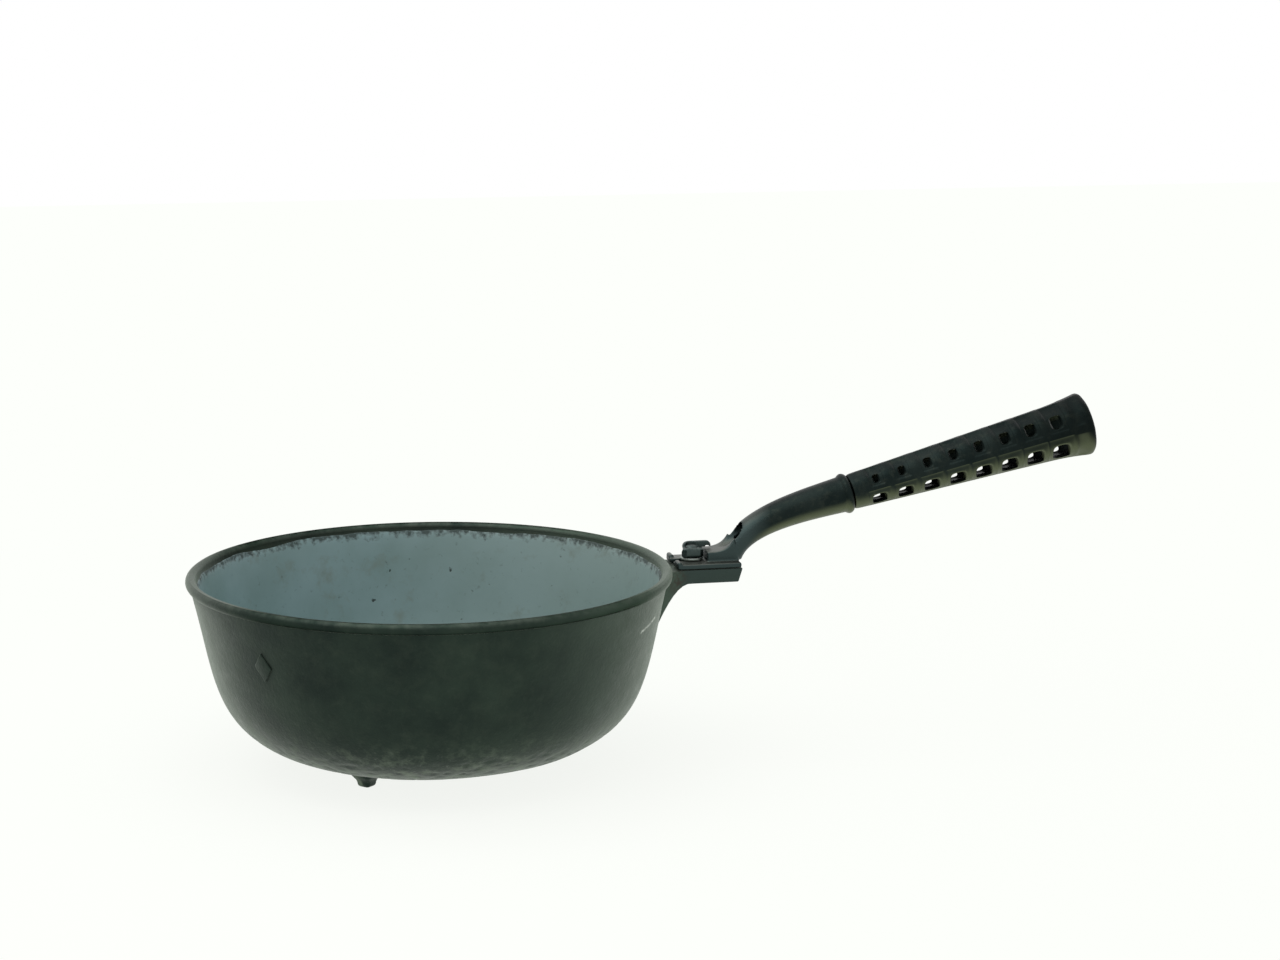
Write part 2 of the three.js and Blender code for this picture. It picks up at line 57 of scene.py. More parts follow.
SIDE = [
    Vector((FLAT_RADIUS, 0)),
    Vector((109, 7)),
    Vector((104, 30)),
    BEAD_CENTRE + Vector((0.26, -2.52)),
]


def bezier(points, share):
    """The point at a share of a cubic curve, and the unit vector along it."""
    a, b, c, d = points
    rest = 1 - share
    at = a * rest**3 + b * 3 * rest * rest * share + c * 3 * rest * share**2 + d * share**3
    along = (b - a) * rest * rest + (c - b) * 2 * rest * share + (d - c) * share * share
    return at, along.normalized()


def side_point(share, depth=0.0):
    """A point of the bowl's side in section, that deep in from its outer face."""
    at, along = bezier(SIDE, share)
    return at + Vector((-along.y, along.x)) * depth


def side_share(height):
    """Where on its curve, from 0 to 1, the outer face reaches a height."""
    low, high = 0.0, 1.0
    for _ in range(30):
        middle = (low + high) / 2
        if side_point(middle).y < height:
            low = middle
        else:
            high = middle
    return low


def arc(centre, radius, start, end, steps):
    """Points of an arc in section, with its angles in degrees."""
    angles = [math.radians(start + (end - start) * i / steps) for i in range(steps + 1)]
    return [centre + Vector((math.cos(a), math.sin(a))) * radius for a in angles]


def turned(outline, turns, closed=False):
    """A bmesh turned about Z from points of radius and height."""
    bm = bmesh.new()
    corners = [bm.verts.new((radius, 0, height)) for radius, height in outline]
    ends = corners[1:] + corners[:1] if closed else corners[1:]
    edges = [bm.edges.new(pair) for pair in zip(corners, ends)]
    bmesh.ops.spin(
        bm, geom=corners + edges, cent=(0, 0, 0), axis=(0, 0, 1), dvec=(0, 0, 0),
        angle=math.tau, steps=turns, use_merge=True, use_duplicate=False,
    )
    bmesh.ops.remove_doubles(bm, verts=bm.verts, dist=1e-4)
    bmesh.ops.recalc_face_normals(bm, faces=bm.faces)
    bm.normal_update()
    return bm


def raw_object(name, bm):
    """A plain object from a bmesh in millimetres, still to be joined or finished."""
    mesh = bpy.data.meshes.new(name)
    bm.to_mesh(mesh)
    bm.free()
    thing = bpy.data.objects.new(name, mesh)
    bpy.context.scene.collection.objects.link(thing)
    return thing


def apply_modifiers(thing):
    """Bakes an object's modifiers into its mesh."""
    graph = bpy.context.evaluated_depsgraph_get()
    thing.data = bpy.data.meshes.new_from_object(thing.evaluated_get(graph))
    thing.modifiers.clear()


def join(thing, others, operation="UNION"):
    """Joins or cuts an object by others, which are then removed."""
    for other in others:
        modifier = thing.modifiers.new(other.name, "BOOLEAN")
        modifier.operation = operation
        modifier.solver = "MANIFOLD"
        modifier.object = other
    apply_modifiers(thing)
    for other in others:
        bpy.data.objects.remove(other)


def finish_piece(thing, body, node, material, sharp=40):
    """Brings a piece to metres, shades it, and hands it to the frame in place of its CAD node."""
    thing.data.transform(Matrix.Scale(MM, 4))
    thing.data.shade_smooth()
    thing.data.set_sharp_from_angle(angle=math.radians(sharp))
    thing.data.materials.clear()
    thing.data.materials.append(material)
    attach(thing, body)
    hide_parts(node)


def side_slab(outline, width):
    """A closed slab from an outline in X and Z, centred on the handle's plane."""
    bm = bmesh.new()
    face = bm.faces.new([bm.verts.new((x, -width / 2, z)) for x, z in outline])
    grown = bmesh.ops.extrude_face_region(bm, geom=[face])["geom"]
    moved = [part for part in grown if isinstance(part, bmesh.types.BMVert)]
    bmesh.ops.translate(bm, verts=moved, vec=(0, width, 0))
    bmesh.ops.recalc_face_normals(bm, faces=bm.faces)
    return bm


def round_edges(bm, size, segments=3, least_angle=30):
    """Rounds every edge that turns by more than an angle."""
    least = math.radians(least_angle)
    edges = [edge for edge in bm.edges if edge.calc_face_angle(0) > least]
    bmesh.ops.bevel(
        bm, geom=edges, offset=size, offset_type="OFFSET", segments=segments, affect="EDGES",
        profile=0.5, material=-1, clamp_overlap=True,
    )


def ease(value, start, end):
    """0 before start, 1 after end, and smooth between them."""
    share = min(max((value - start) / (end - start), 0.0), 1.0)
    return share * share * (3 - 2 * share)


def srgb(text):
    """A linear colour from an sRGB hex value."""
    parts = [int(text[i:i + 2], 16) / 255 for i in (1, 3, 5)]
    return [c / 12.92 if c <= 0.04045 else ((c + 0.055) / 1.055) ** 2.4 for c in parts] + [1.0]


def add_node(tree, kind, inputs=None, **settings):
    """Adds a node with its settings. An input is a value, a hex colour, or another node's output to link."""
    node = tree.nodes.new(kind)
    for name, value in settings.items():
        setattr(node, name, value)
    for name, value in (inputs or {}).items():
        if isinstance(value, bpy.types.NodeSocket):
            tree.links.new(value, node.inputs[name])
        elif isinstance(value, str):
            node.inputs[name].default_value = srgb(value)
        else:
            node.inputs[name].default_value = value
    return node


def new_material(name):
    """An empty node material, and its tree."""
    material = bpy.data.materials.new(name)
    material.use_nodes = True
    material.node_tree.nodes.clear()
    return material, material.node_tree


def in_millimetres(tree):
    """The place of a point on its piece, in millimetres."""
    place = add_node(tree, "ShaderNodeTexCoord").outputs["Object"]
    return add_node(tree, "ShaderNodeVectorMath", {0: place, 3: 1 / MM}, operation="SCALE").outputs[0]


# The outer face is wavy from the mould, and scaled and pitted low down, where the fire reached it.
WAVE_SIZE, WAVE_DEEP = 42, 0.45
PIT_SIZE, PIT_DEEP = 4.5, 0.5
PIT_FROM, PIT_TO = 30, 12
SMOOTH_BELOW_RIM = 14
INNER_STEPS = 26

outline = [(radius, 0) for radius in range(0, FLAT_RADIUS, 3)]
outline += [side_point(i / SIDE_STEPS) for i in range(SIDE_STEPS + 1)]
outline += arc(BEAD_CENTRE, BEAD_RADIUS, -70, 66, 12)
outline += [
    BEAD_CENTRE + Vector((RIM_LAND / 2, BEAD_RADIUS)),
    BEAD_CENTRE + Vector((-RIM_LAND / 2, BEAD_RADIUS)),
]
outline += arc(BEAD_CENTRE, BEAD_RADIUS, 128, 184, 5)
outline += [side_point(1 - i / INNER_STEPS, WALL) for i in range(INNER_STEPS + 1)]
outline += [(0, WALL)]

bm = turned(outline, BOWL_TURNS)
for vert in bm.verts:
    radial = Vector((vert.co.x, vert.co.y, 0))
    outside = vert.normal.dot(radial) > 0 or vert.normal.z < -0.5
    if not outside:
        continue
    below_bead = 1 - ease(vert.co.z, RIM_HEIGHT - SMOOTH_BELOW_RIM, RIM_HEIGHT - 6)
    wave = noise.noise(vert.co / WAVE_SIZE) * WAVE_DEEP * below_bead * ease(vert.co.z, 0, 12)
    rough = ease(-vert.co.z, -PIT_FROM, -PIT_TO) * ease(radial.length, 60, 80)
    pit = ease(noise.fractal(vert.co / PIT_SIZE, 1.0, 2.0, 3), 0.05, 0.7)
    vert.co += vert.normal * (wave - pit * PIT_DEEP * rough)
bowl = raw_object("bowl_casting", bm)

# The ledge stands out under the rim on a web that sweeps back into the wall.
LEDGE_END = bowl_high.x / MM
LEDGE_TOP = RIM_HEIGHT - 3.6
LEDGE_THICK = 7
LEDGE_WIDTH = 27
LEDGE_UNDERCUT = 2.2
WEB_REACH = 14
WEB_DROP = 25
WEB_BEND_OUT = 9.5
WEB_BEND_UP = 1.5
LEDGE_ROUND = 0.7
FLARE_LENGTH = 13
FLARE_WIDE = 0.28
FLARE_CUTS = 9
WEB_STEPS = 8
BURIED = WALL / 2
ledge_bottom = LEDGE_TOP - LEDGE_THICK
web_bottom = ledge_bottom - WEB_DROP


def wall_radius(height):
    """The bowl's outer radius at a height."""
    return side_point(side_share(height)).x


def curve(start, corner, end, steps):
    """Points of a curve that leaves one point and turns by a corner to another."""
    points = []
    for i in range(steps + 1):
        share = i / steps
        rest = 1 - share
        points.append(start * rest * rest + corner * 2 * rest * share + end * share * share)
    return points


def cut_across(bm, point, along):
    """Adds a ring of edges all round a shape, square to a direction."""
    whole = bm.verts[:] + bm.edges[:] + bm.faces[:]
    bmesh.ops.bisect_plane(bm, geom=whole, dist=1e-4, plane_co=point, plane_no=along)


web_foot = Vector((wall_radius(web_bottom) - BURIED, web_bottom))
web_bend = Vector((wall_radius(web_bottom) + WEB_BEND_OUT, ledge_bottom + WEB_BEND_UP))
web_head = Vector((wall_radius(ledge_bottom) + WEB_REACH, ledge_bottom))
ledge_outline = [(wall_radius(LEDGE_TOP) - BURIED, LEDGE_TOP)]
ledge_outline += curve(web_foot, web_bend, web_head, WEB_STEPS)
ledge_outline += [(LEDGE_END - LEDGE_UNDERCUT, ledge_bottom), (LEDGE_END, LEDGE_TOP)]
bm = side_slab(ledge_outline, LEDGE_WIDTH)
round_edges(bm, LEDGE_ROUND)
for step in range(FLARE_CUTS):
    cut_across(bm, (RIM_RADIUS - 4 + step * FLARE_LENGTH / 6, 0, 0), (1, 0, 0))
for vert in bm.verts:
    near_wall = 1 - ease(vert.co.x, wall_radius(min(vert.co.z, 87)) - 2, RIM_RADIUS + FLARE_LENGTH)
    vert.co.y *= 1 + FLARE_WIDE * near_wall**2
ledge = raw_object("ledge", bm)

# Feet: short square pegs that taper to a rounded end.
FOOT_CIRCLE = 52
FOOT_HEIGHT = -bowl_low.z / MM
FOOT_ROOT = 13
FOOT_TIP = 7
FOOT_SUNK = 3.4
FOOT_TAPER = 1.25
FOOT_CUTS = 8
FOOT_BEARINGS = (0, 136, -136)
FOOT_ROUND = 1.6


def foot(bearing):
    """One foot, with its root buried in the bottom and flared where it leaves it."""
    bm = bmesh.new()
    height = FOOT_HEIGHT + FOOT_SUNK
    bmesh.ops.create_cone(
        bm, cap_ends=True, segments=4, radius1=FOOT_TIP * math.sqrt(0.5),
        radius2=FOOT_TIP * FOOT_TAPER * math.sqrt(0.5), depth=height,
        matrix=Matrix.Rotation(math.pi / 4, 4, "Z"),
    )
    bmesh.ops.translate(bm, verts=bm.verts, vec=(0, 0, height / 2))
    round_edges(bm, FOOT_ROUND, segments=4)
    for step in range(1, FOOT_CUTS):
        cut_across(bm, (0, 0, height * step / FOOT_CUTS), (0, 0, 1))
    flare = FOOT_ROOT / FOOT_TIP / FOOT_TAPER - 1
    for vert in bm.verts:
        wide = 1 + flare * ease(vert.co.z, FOOT_HEIGHT * 0.2, FOOT_HEIGHT * 1.05) ** 2
        vert.co.x *= wide
        vert.co.y *= wide
    place = Matrix.Rotation(math.radians(bearing), 4, "Z") @ Matrix.Translation((FOOT_CIRCLE, 0, -FOOT_HEIGHT))
    bmesh.ops.transform(bm, matrix=place, verts=bm.verts)
    return raw_object("foot", bm)


# A plain raised lozenge, where such a pan has its size cast on.
MARK_BEARING = -142
MARK_HEIGHT = 64.3
MARK_WIDE = 11
MARK_TALL = 15
MARK_PROUD = 0.8
MARK_ROUND = 0.45

bm = bmesh.new()
bmesh.ops.create_circle(bm, cap_ends=True, segments=4, radius=0.5)
bmesh.ops.scale(bm, verts=bm.verts, vec=(MARK_TALL, MARK_WIDE, 1))
grown = bmesh.ops.extrude_face_region(bm, geom=bm.faces[:])["geom"]
top = [part for part in grown if isinstance(part, bmesh.types.BMVert)]
bmesh.ops.translate(bm, verts=top, vec=(0, 0, BURIED + MARK_PROUD))
bmesh.ops.recalc_face_normals(bm, faces=bm.faces)
round_edges(bm, MARK_ROUND)
mark_at, mark_along = bezier(SIDE, side_share(MARK_HEIGHT))
outward = Vector((mark_along.y, 0, -mark_along.x))
upward = Vector((mark_along.x, 0, mark_along.y))
stand = Matrix((upward, Vector((0, 1, 0)), outward)).transposed().to_4x4()
place = (
    Matrix.Rotation(math.radians(MARK_BEARING), 4, "Z")
    @ Matrix.Translation((mark_at.x, 0, mark_at.y))
    @ stand
    @ Matrix.Translation((0, 0, -BURIED))
)
bmesh.ops.transform(bm, matrix=place, verts=bm.verts)
bmesh.ops.recalc_face_normals(bm, faces=bm.faces)
mark = raw_object("lozenge", bm)

join(bowl, [ledge, mark] + [foot(bearing) for bearing in FOOT_BEARINGS])

# The clamp bolt's square recess and its hole are cut through the ledge.
GAP = 0.3
BOLT_X = RIM_RADIUS + 12.6
BOLT_RADIUS = 2.9
HEAD_SIDE = 9
HEAD_THICK = 3
hole_radius = BOLT_RADIUS + GAP
recess_side = HEAD_SIDE + 2 * GAP
recess_height = 2 * (HEAD_THICK + 2 * GAP)


def box(sizes, middle, rounding=0, segments=3):
    """A bmesh of a box about its middle, with its edges rounded where that is asked for."""
    bm = bmesh.new()
    bmesh.ops.create_cube(bm, size=1)
    bmesh.ops.scale(bm, verts=bm.verts, vec=sizes)
    if rounding:
        round_edges(bm, rounding, segments)
    bmesh.ops.translate(bm, verts=bm.verts, vec=middle)
    return bm


def rod(radius, length, place, segments=40):
    """A bmesh of a plain cylinder about a place."""
    bm = bmesh.new()
    bmesh.ops.create_cone(
        bm, cap_ends=True, segments=segments, radius1=radius, radius2=radius, depth=length, matrix=place,
    )
    return bm


recess = raw_object("recess", box((recess_side, recess_side, recess_height), (BOLT_X, 0, ledge_bottom)))
bolt_hole = raw_object("bolt_hole", rod(hole_radius, 4 * LEDGE_THICK, Matrix.Translation((BOLT_X, 0, LEDGE_TOP))))
join(bowl, [recess, bolt_hole], "DIFFERENCE")

# Sand-cast grey iron under years of soot and grease. It is nearly black, with a fine grain from the sand, dull
# patches of lighter scale low down, bare grey metal where the rim is rubbed, and a little rust. Its thin oxide
# reflects like a dark metal, so it turns pale where it is seen edge on; its right side and the ledge are painted
# paler as painted light. Grain is drawn at 1.1 mm so it shows.
SOOT_DARK = "#212b27"
SOOT_PALE = "#2f3b33"
SCALE_GREY = "#74816f"
RUBBED_IRON = "#626a62"
RIGHT_PAINTED_LIGHT = "#4d5b50"
LEDGE_PAINTED_LIGHT = "#333e3c"
EDGE_GLOW = "#e6f5e2"
EDGE_PLAIN = "#ffffff"
EDGE_SOOTY = "#4d564e"
RUST = "#3b322d"
SCRATCH = "#c9cec6"
SAND_GRAIN = 1.1
SCALE_PATCH = 8
SOOT_PATCH = 34
SMALL_PIT = 2.4
SCALE_FROM, SCALE_TO = 36, 6
RIGHT_LIGHT_FROM, RIGHT_LIGHT_TO = 30, 115
RUBBED_FROM, RUBBED_TO = 78, 112
RUST_PLACE = Vector((121, -14, 84.5))
RUST_SPREAD = 8
SCRATCH_START = Vector((92.4, -67.0, 71.8))
SCRATCH_END = Vector((102.7, -51.5, 75.1))
SCRATCH_WIDE = 0.6

iron, tree = new_material("sand_cast_iron_blackened")
spot = in_millimetres(tree)
to_right = add_node(tree, "ShaderNodeSeparateXYZ", {0: spot}).outputs["X"]
height = add_node(tree, "ShaderNodeSeparateXYZ", {0: spot}).outputs["Z"]
across = add_node(tree, "ShaderNodeVectorMath", {0: spot, 1: (1, 1, 0)}, operation="MULTIPLY").outputs[0]
from_axis = add_node(tree, "ShaderNodeVectorMath", {0: across}, operation="LENGTH").outputs["Value"]
soot, patch, grain, pits = (
    add_node(
        tree, "ShaderNodeTexNoise", {"Vector": spot, "Scale": 1 / size, "Detail": detail, "Roughness": rough},
    ).outputs[0]
    for size, detail, rough in (
        (SOOT_PATCH, 5, 0.6), (SCALE_PATCH, 6, 0.68), (SAND_GRAIN, 2, 0.5), (SMALL_PIT, 4, 0.7),
    )
)
low_down = add_node(
    tree, "ShaderNodeMapRange", {"Value": height, 1: SCALE_FROM, 2: SCALE_TO, 3: 0.06, 4: 1.0},
    interpolation_type="SMOOTHSTEP",
).outputs[0]
to_rust = add_node(
    tree, "ShaderNodeVectorMath", {0: spot, 1: RUST_PLACE}, operation="DISTANCE",
).outputs["Value"]
soot_tone, scaled, flecks, right_painted_light, ledge_painted_light, rim_top, rim_worn = (
    add_node(tree, "ShaderNodeMapRange", {"Value": value, 1: low, 2: high, 4: most}).outputs[0]
    for value, low, high, most in (
        (soot, 0.35, 0.68, 1.0),
        (patch, 0.48, 0.68, 0.85),
        (pits, 0.58, 0.72, 0.9),
        # painted light: the bowl is painted paler towards its right side
        (to_right, RIGHT_LIGHT_FROM, RIGHT_LIGHT_TO, 0.7),
        # painted light: the ledge is painted paler, a painted reflection of the floor on its faces
        (from_axis, RIM_RADIUS + 2, RIM_RADIUS + 8, 0.8),
        (height, RIM_HEIGHT - 2.2, RIM_HEIGHT - 0.4, 1.0),
        (patch, 0.38, 0.65, 0.35),
    )
)

# Rust browns the bare band inside the rim a little, and breaks out where the web meets the rim.
inside, up_high, near_rust, rust_broken = (
    add_node(tree, "ShaderNodeMapRange", {"Value": value, 1: low, 2: high, 4: most}).outputs[0]
    for value, low, high, most in (
        (from_axis, RIM_RADIUS - 4.5, RIM_RADIUS - 5, 1.0),
        (height, RIM_HEIGHT - 9, RIM_HEIGHT - 7, 0.3),
        (to_rust, RUST_SPREAD, 3, 1.0),
        (pits, 0.42, 0.62, 0.7),
    )
)
scaled, flecks, rim_worn, browned, rusty = (
    add_node(tree, "ShaderNodeMath", {0: mask, 1: other}, operation="MULTIPLY").outputs[0]
    for mask, other in (
        (scaled, low_down), (flecks, low_down), (rim_worn, rim_top), (inside, up_high), (near_rust, rust_broken),
    )
)
browned = add_node(tree, "ShaderNodeMath", {0: browned, 1: patch}, operation="MULTIPLY").outputs[0]
rusty = add_node(tree, "ShaderNodeMath", {0: rusty, 1: browned}, operation="MAXIMUM").outputs[0]

# One pale scratch, by its distance from a line.
run = SCRATCH_END - SCRATCH_START
from_start = add_node(
    tree, "ShaderNodeVectorMath", {0: spot, 1: SCRATCH_START}, operation="SUBTRACT",
).outputs[0]
along_run = add_node(
    tree, "ShaderNodeVectorMath", {0: from_start, 1: run / run.length_squared}, operation="DOT_PRODUCT",
).outputs["Value"]
along_run = add_node(tree, "ShaderNodeClamp", {"Value": along_run}).outputs[0]
foot_point = add_node(
    tree, "ShaderNodeVectorMath", {0: tuple(run), 3: along_run}, operation="SCALE",
).outputs[0]
off_line = add_node(
    tree, "ShaderNodeVectorMath", {0: from_start, 1: foot_point}, operation="DISTANCE",
).outputs["Value"]
scratched = add_node(
    tree, "ShaderNodeMapRange", {"Value": off_line, 1: 2 * SCRATCH_WIDE, 2: 0.3 * SCRATCH_WIDE},
).outputs[0]
scratch_broken = add_node(tree, "ShaderNodeMapRange", {"Value": grain, 1: 0.4, 2: 0.55}).outputs[0]
scratched = add_node(tree, "ShaderNodeMath", {0: scratched, 1: scratch_broken}, operation="MULTIPLY").outputs[0]
colour = SOOT_DARK
for share, tint in (
    (soot_tone, SOOT_PALE), (scaled, SCALE_GREY), (flecks, RUBBED_IRON), (right_painted_light, RIGHT_PAINTED_LIGHT), (ledge_painted_light, LEDGE_PAINTED_LIGHT),
    (rim_worn, RUBBED_IRON), (rusty, RUST), (scratched, SCRATCH),
):
    colour = add_node(tree, "ShaderNodeMix", {0: share, 6: colour, 7: tint}, data_type="RGBA").outputs[2]

# The bead at the rim is sootier, so it shines less where it is seen edge on, apart from its rubbed left and right.
on_bead = add_node(
    tree, "ShaderNodeMapRange", {"Value": height, 1: RIM_HEIGHT - 5.6, 2: RIM_HEIGHT - 4.6},
).outputs[0]
sideways = add_node(tree, "ShaderNodeMath", {0: to_right}, operation="ABSOLUTE").outputs[0]
sooty = add_node(
    tree, "ShaderNodeMapRange", {"Value": sideways, 1: RUBBED_FROM, 2: RUBBED_TO, 3: 1.0, 4: 0.12},
    interpolation_type="SMOOTHSTEP",
).outputs[0]
on_bead = add_node(tree, "ShaderNodeMath", {0: on_bead, 1: sooty}, operation="MULTIPLY").outputs[0]
edge_tint = add_node(
    tree, "ShaderNodeMix", {0: on_bead, 6: EDGE_PLAIN, 7: EDGE_SOOTY}, data_type="RGBA",
).outputs[2]
edge_glow = add_node(tree, "ShaderNodeMapRange", {"Value": on_bead, 3: 0.35, 4: 0.08}).outputs[0]
rough = add_node(tree, "ShaderNodeMapRange", {"Value": patch, 1: 0.3, 2: 0.7, 3: 0.4, 4: 0.56}).outputs[0]
fine = add_node(
    tree, "ShaderNodeBump", {"Strength": 0.35, "Distance": 0.12 * MM, "Height": grain},
).outputs[0]
coarse = add_node(
    tree, "ShaderNodeBump", {"Strength": 0.5, "Distance": 0.35 * MM, "Height": pits, "Normal": fine},
).outputs[0]
shader = add_node(
    tree, "ShaderNodeBsdfPrincipled",
    {
        "Base Color": colour, "Metallic": 1.0, "Roughness": rough, "Normal": coarse,
        "Specular Tint": edge_tint, "Sheen Weight": edge_glow, "Sheen Roughness": 0.4, "Sheen Tint": EDGE_GLOW,
    },
)
add_node(tree, "ShaderNodeOutputMaterial", {"Surface": shader.outputs[0]})
finish_piece(bowl, "pan", "bowl", iron)

# Enamel: a thin coat of blue-grey glass fused on to the inside of the casting. It was poured and drained, so it
# ends in a ragged edge below the rim, and the bare iron shows above it.
ENAMEL = 0.5
ENAMEL_BELOW_RIM = 4.6
ENAMEL_INTO_IRON = 0.4
ENAMEL_STEPS = 56
ENAMEL_TURNS = 480
RAGGED_FROM = 14
RAGGED = ((30, 1.5), (9, 0.5), (3.5, 0.2))
enamel_height = RIM_HEIGHT - ENAMEL_BELOW_RIM
enamel_top = side_share(enamel_height)


def lip_point(deep, up):
    """A point at the top of the coat: that deep in from the bowl's outer face, and that far up the wall."""
    return side_point(enamel_top, deep) + bezier(SIDE, enamel_top)[1] * up


outline = [(0, WALL - ENAMEL_INTO_IRON)]
outline += [side_point(enamel_top * i / 12, WALL - ENAMEL_INTO_IRON) for i in range(13)]
outline += [
    lip_point(WALL - ENAMEL_INTO_IRON, 0.5),
    lip_point(WALL + ENAMEL * 0.35, 0.45),
    lip_point(WALL + ENAMEL * 0.8, 0.28),
]
outline += [side_point(enamel_top * (1 - i / ENAMEL_STEPS), WALL + ENAMEL) for i in range(ENAMEL_STEPS + 1)]
outline += [(radius, WALL + ENAMEL) for radius in range(FLAT_RADIUS, -1, -6)]

bm = turned(outline, ENAMEL_TURNS)
wall_lean = bezier(SIDE, enamel_top)[1]
for vert in bm.verts:
    near_top = ease(vert.co.z, RIM_HEIGHT - RAGGED_FROM, enamel_height)
    if near_top == 0:
        continue
    round_wall = Vector((vert.co.x, vert.co.y, 0))
    rise = sum(noise.noise(round_wall / size) * deep for size, deep in RAGGED) * near_top
    vert.co += round_wall.normalized() * wall_lean.x * rise
    vert.co.z += wall_lean.y * rise
enamel = raw_object("enamel_coat", bm)

# Fired glass enamel: a soft gloss over a blue-grey body, clouded and a little stained by cooking, with dark chips
# where it has flaked to the iron, most of all in a mottled line along its ragged edge.
GLAZE = "#768f91"
GLAZE_DULL = "#698281"
GLAZE_WARM = "#7f8f88"
STAIN = "#636a5d"
WARM_FROM, WARM_TO = -20, 100
CHIP = "#171e18"
CLOUD = 45
STAIN_PATCH = 16
SPECK = 3.2
EDGE_BAND = 4
CHIP_WANDER = 2.5
CHIPS = (
    (Vector((-6.3, 109.2, 68.9)), 0.7),
    (Vector((25.4, 106.2, 68.1)), 1.0),
    (Vector((45.0, 98.1, 61.9)), 0.8),
    (Vector((-15.6, 105.0, 54.0)), 0.7),
)

glaze, tree = new_material("fired_glass_enamel_blue_grey")
spot = in_millimetres(tree)
to_handle = add_node(tree, "ShaderNodeSeparateXYZ", {0: spot}).outputs["X"]
height = add_node(tree, "ShaderNodeSeparateXYZ", {0: spot}).outputs["Z"]
cloud, stain, speck = (
    add_node(
        tree, "ShaderNodeTexNoise", {"Vector": spot, "Scale": 1 / size, "Detail": detail, "Roughness": rough},
    ).outputs[0]
    for size, detail, rough in ((CLOUD, 4, 0.55), (STAIN_PATCH, 6, 0.7), (SPECK, 3, 0.6))
)
cloudy, warmed, stained, specks, edge_band = (
    add_node(tree, "ShaderNodeMapRange", {"Value": value, 1: low, 2: high, 4: most}).outputs[0]
    for value, low, high, most in (
        (cloud, 0.35, 0.65, 1.0),
        (to_handle, WARM_FROM, WARM_TO, 0.6),
        (stain, 0.56, 0.74, 0.5),
        (speck, 0.7, 0.76, 0.8),
        (height, enamel_height - EDGE_BAND, enamel_height + 1, 1.0),
    )
)
edge_near = add_node(tree, "ShaderNodeMath", {0: edge_band, 1: 0.4, 2: speck}, operation="MULTIPLY_ADD").outputs[0]
edge_dark = add_node(tree, "ShaderNodeMapRange", {"Value": edge_near, 1: 0.64, 2: 0.9, 4: 0.8}).outputs[0]
chipped = add_node(tree, "ShaderNodeMath", {0: specks, 1: edge_dark}, operation="MAXIMUM").outputs[0]
wander = add_node(tree, "ShaderNodeMapRange", {"Value": speck, 3: -CHIP_WANDER, 4: CHIP_WANDER}).outputs[0]
for centre, size in CHIPS:
    away = add_node(
        tree, "ShaderNodeVectorMath", {0: spot, 1: centre}, operation="DISTANCE",
    ).outputs["Value"]
    away = add_node(tree, "ShaderNodeMath", {0: away, 1: wander}).outputs[0]
    chip = add_node(tree, "ShaderNodeMapRange", {"Value": away, 1: size, 2: size * 0.6, 4: 0.85}).outputs[0]
    chipped = add_node(tree, "ShaderNodeMath", {0: chipped, 1: chip}, operation="MAXIMUM").outputs[0]
colour = GLAZE
for share, tint in ((cloudy, GLAZE_DULL), (warmed, GLAZE_WARM), (stained, STAIN), (chipped, CHIP)):
    colour = add_node(tree, "ShaderNodeMix", {0: share, 6: colour, 7: tint}, data_type="RGBA").outputs[2]
rough = add_node(tree, "ShaderNodeMapRange", {"Value": stain, 1: 0.35, 2: 0.7, 3: 0.34, 4: 0.55}).outputs[0]
rough = add_node(tree, "ShaderNodeMath", {0: rough, 1: chipped}, operation="MAXIMUM").outputs[0]
hollow = add_node(
    tree, "ShaderNodeBump", {"Strength": 0.4, "Distance": 0.3 * MM, "Height": chipped}, invert=True,
).outputs[0]
ripple = add_node(
    tree, "ShaderNodeBump", {"Strength": 0.2, "Distance": 0.4 * MM, "Height": stain, "Normal": hollow},
).outputs[0]
shader = add_node(
    tree, "ShaderNodeBsdfPrincipled",
    {"Base Color": colour, "Roughness": rough, "Normal": ripple, "IOR": 1.5},
)
add_node(tree, "ShaderNodeOutputMaterial", {"Surface": shader.outputs[0]})
finish_piece(enamel, "pan", "enamel_lining", glaze)

# Clamp bolt: a forged iron bolt with a square head that sits in the recess under the ledge, so that it can't
# turn. Its thread is drawn as rings, 1 mm apart.
THREAD_PITCH = 1.0
THREAD_DEEP = 0.35
HEAD_ROUND = 0.5
bolt_low, bolt_high = (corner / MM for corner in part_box("clamp_bolt"))
washer_low, washer_high = (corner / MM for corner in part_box("clamp_washer"))

shank_start = bolt_low.z + HEAD_THICK / 2
bm = box((HEAD_SIDE, HEAD_SIDE, HEAD_THICK), (BOLT_X, 0, shank_start), HEAD_ROUND)
bolt = raw_object("clamp_bolt_forged", bm)
thread_start = bolt_low.z + HEAD_THICK + 1
outline = [(0, shank_start), (BOLT_RADIUS, shank_start), (BOLT_RADIUS, thread_start)]
for turn in range(int((bolt_high.z - 0.6 - thread_start) / THREAD_PITCH)):
    ring = thread_start + turn * THREAD_PITCH
    outline.append((BOLT_RADIUS - THREAD_DEEP, ring + THREAD_PITCH * 0.4))
    outline.append((BOLT_RADIUS, ring + THREAD_PITCH * 0.85))
outline += [(BOLT_RADIUS - 0.2, bolt_high.z - 0.5), (BOLT_RADIUS - 0.8, bolt_high.z - 0.1), (0, bolt_high.z)]
bm = turned(outline, 48)
bmesh.ops.translate(bm, verts=bm.verts, vec=(BOLT_X, 0, 0))
join(bolt, [raw_object("shank", bm)])

# Forged iron of the clamp: blackened and greasy, and rubbed to grey in patches by fingers. The grey is painted
# strongest on the faces that look up, as painted light. Its grain is drawn at 0.8 mm and the wear at 3.5 mm.
CLAMP_DARK = "#3d4846"
CLAMP_WORN_AND_PAINTED_LIGHT = "#7c8680"
WASHER_PAINTED_HIGHLIGHT = "#9aa29c"
FORGE_GRAIN = 0.8
WEAR_PATCH = 3.5

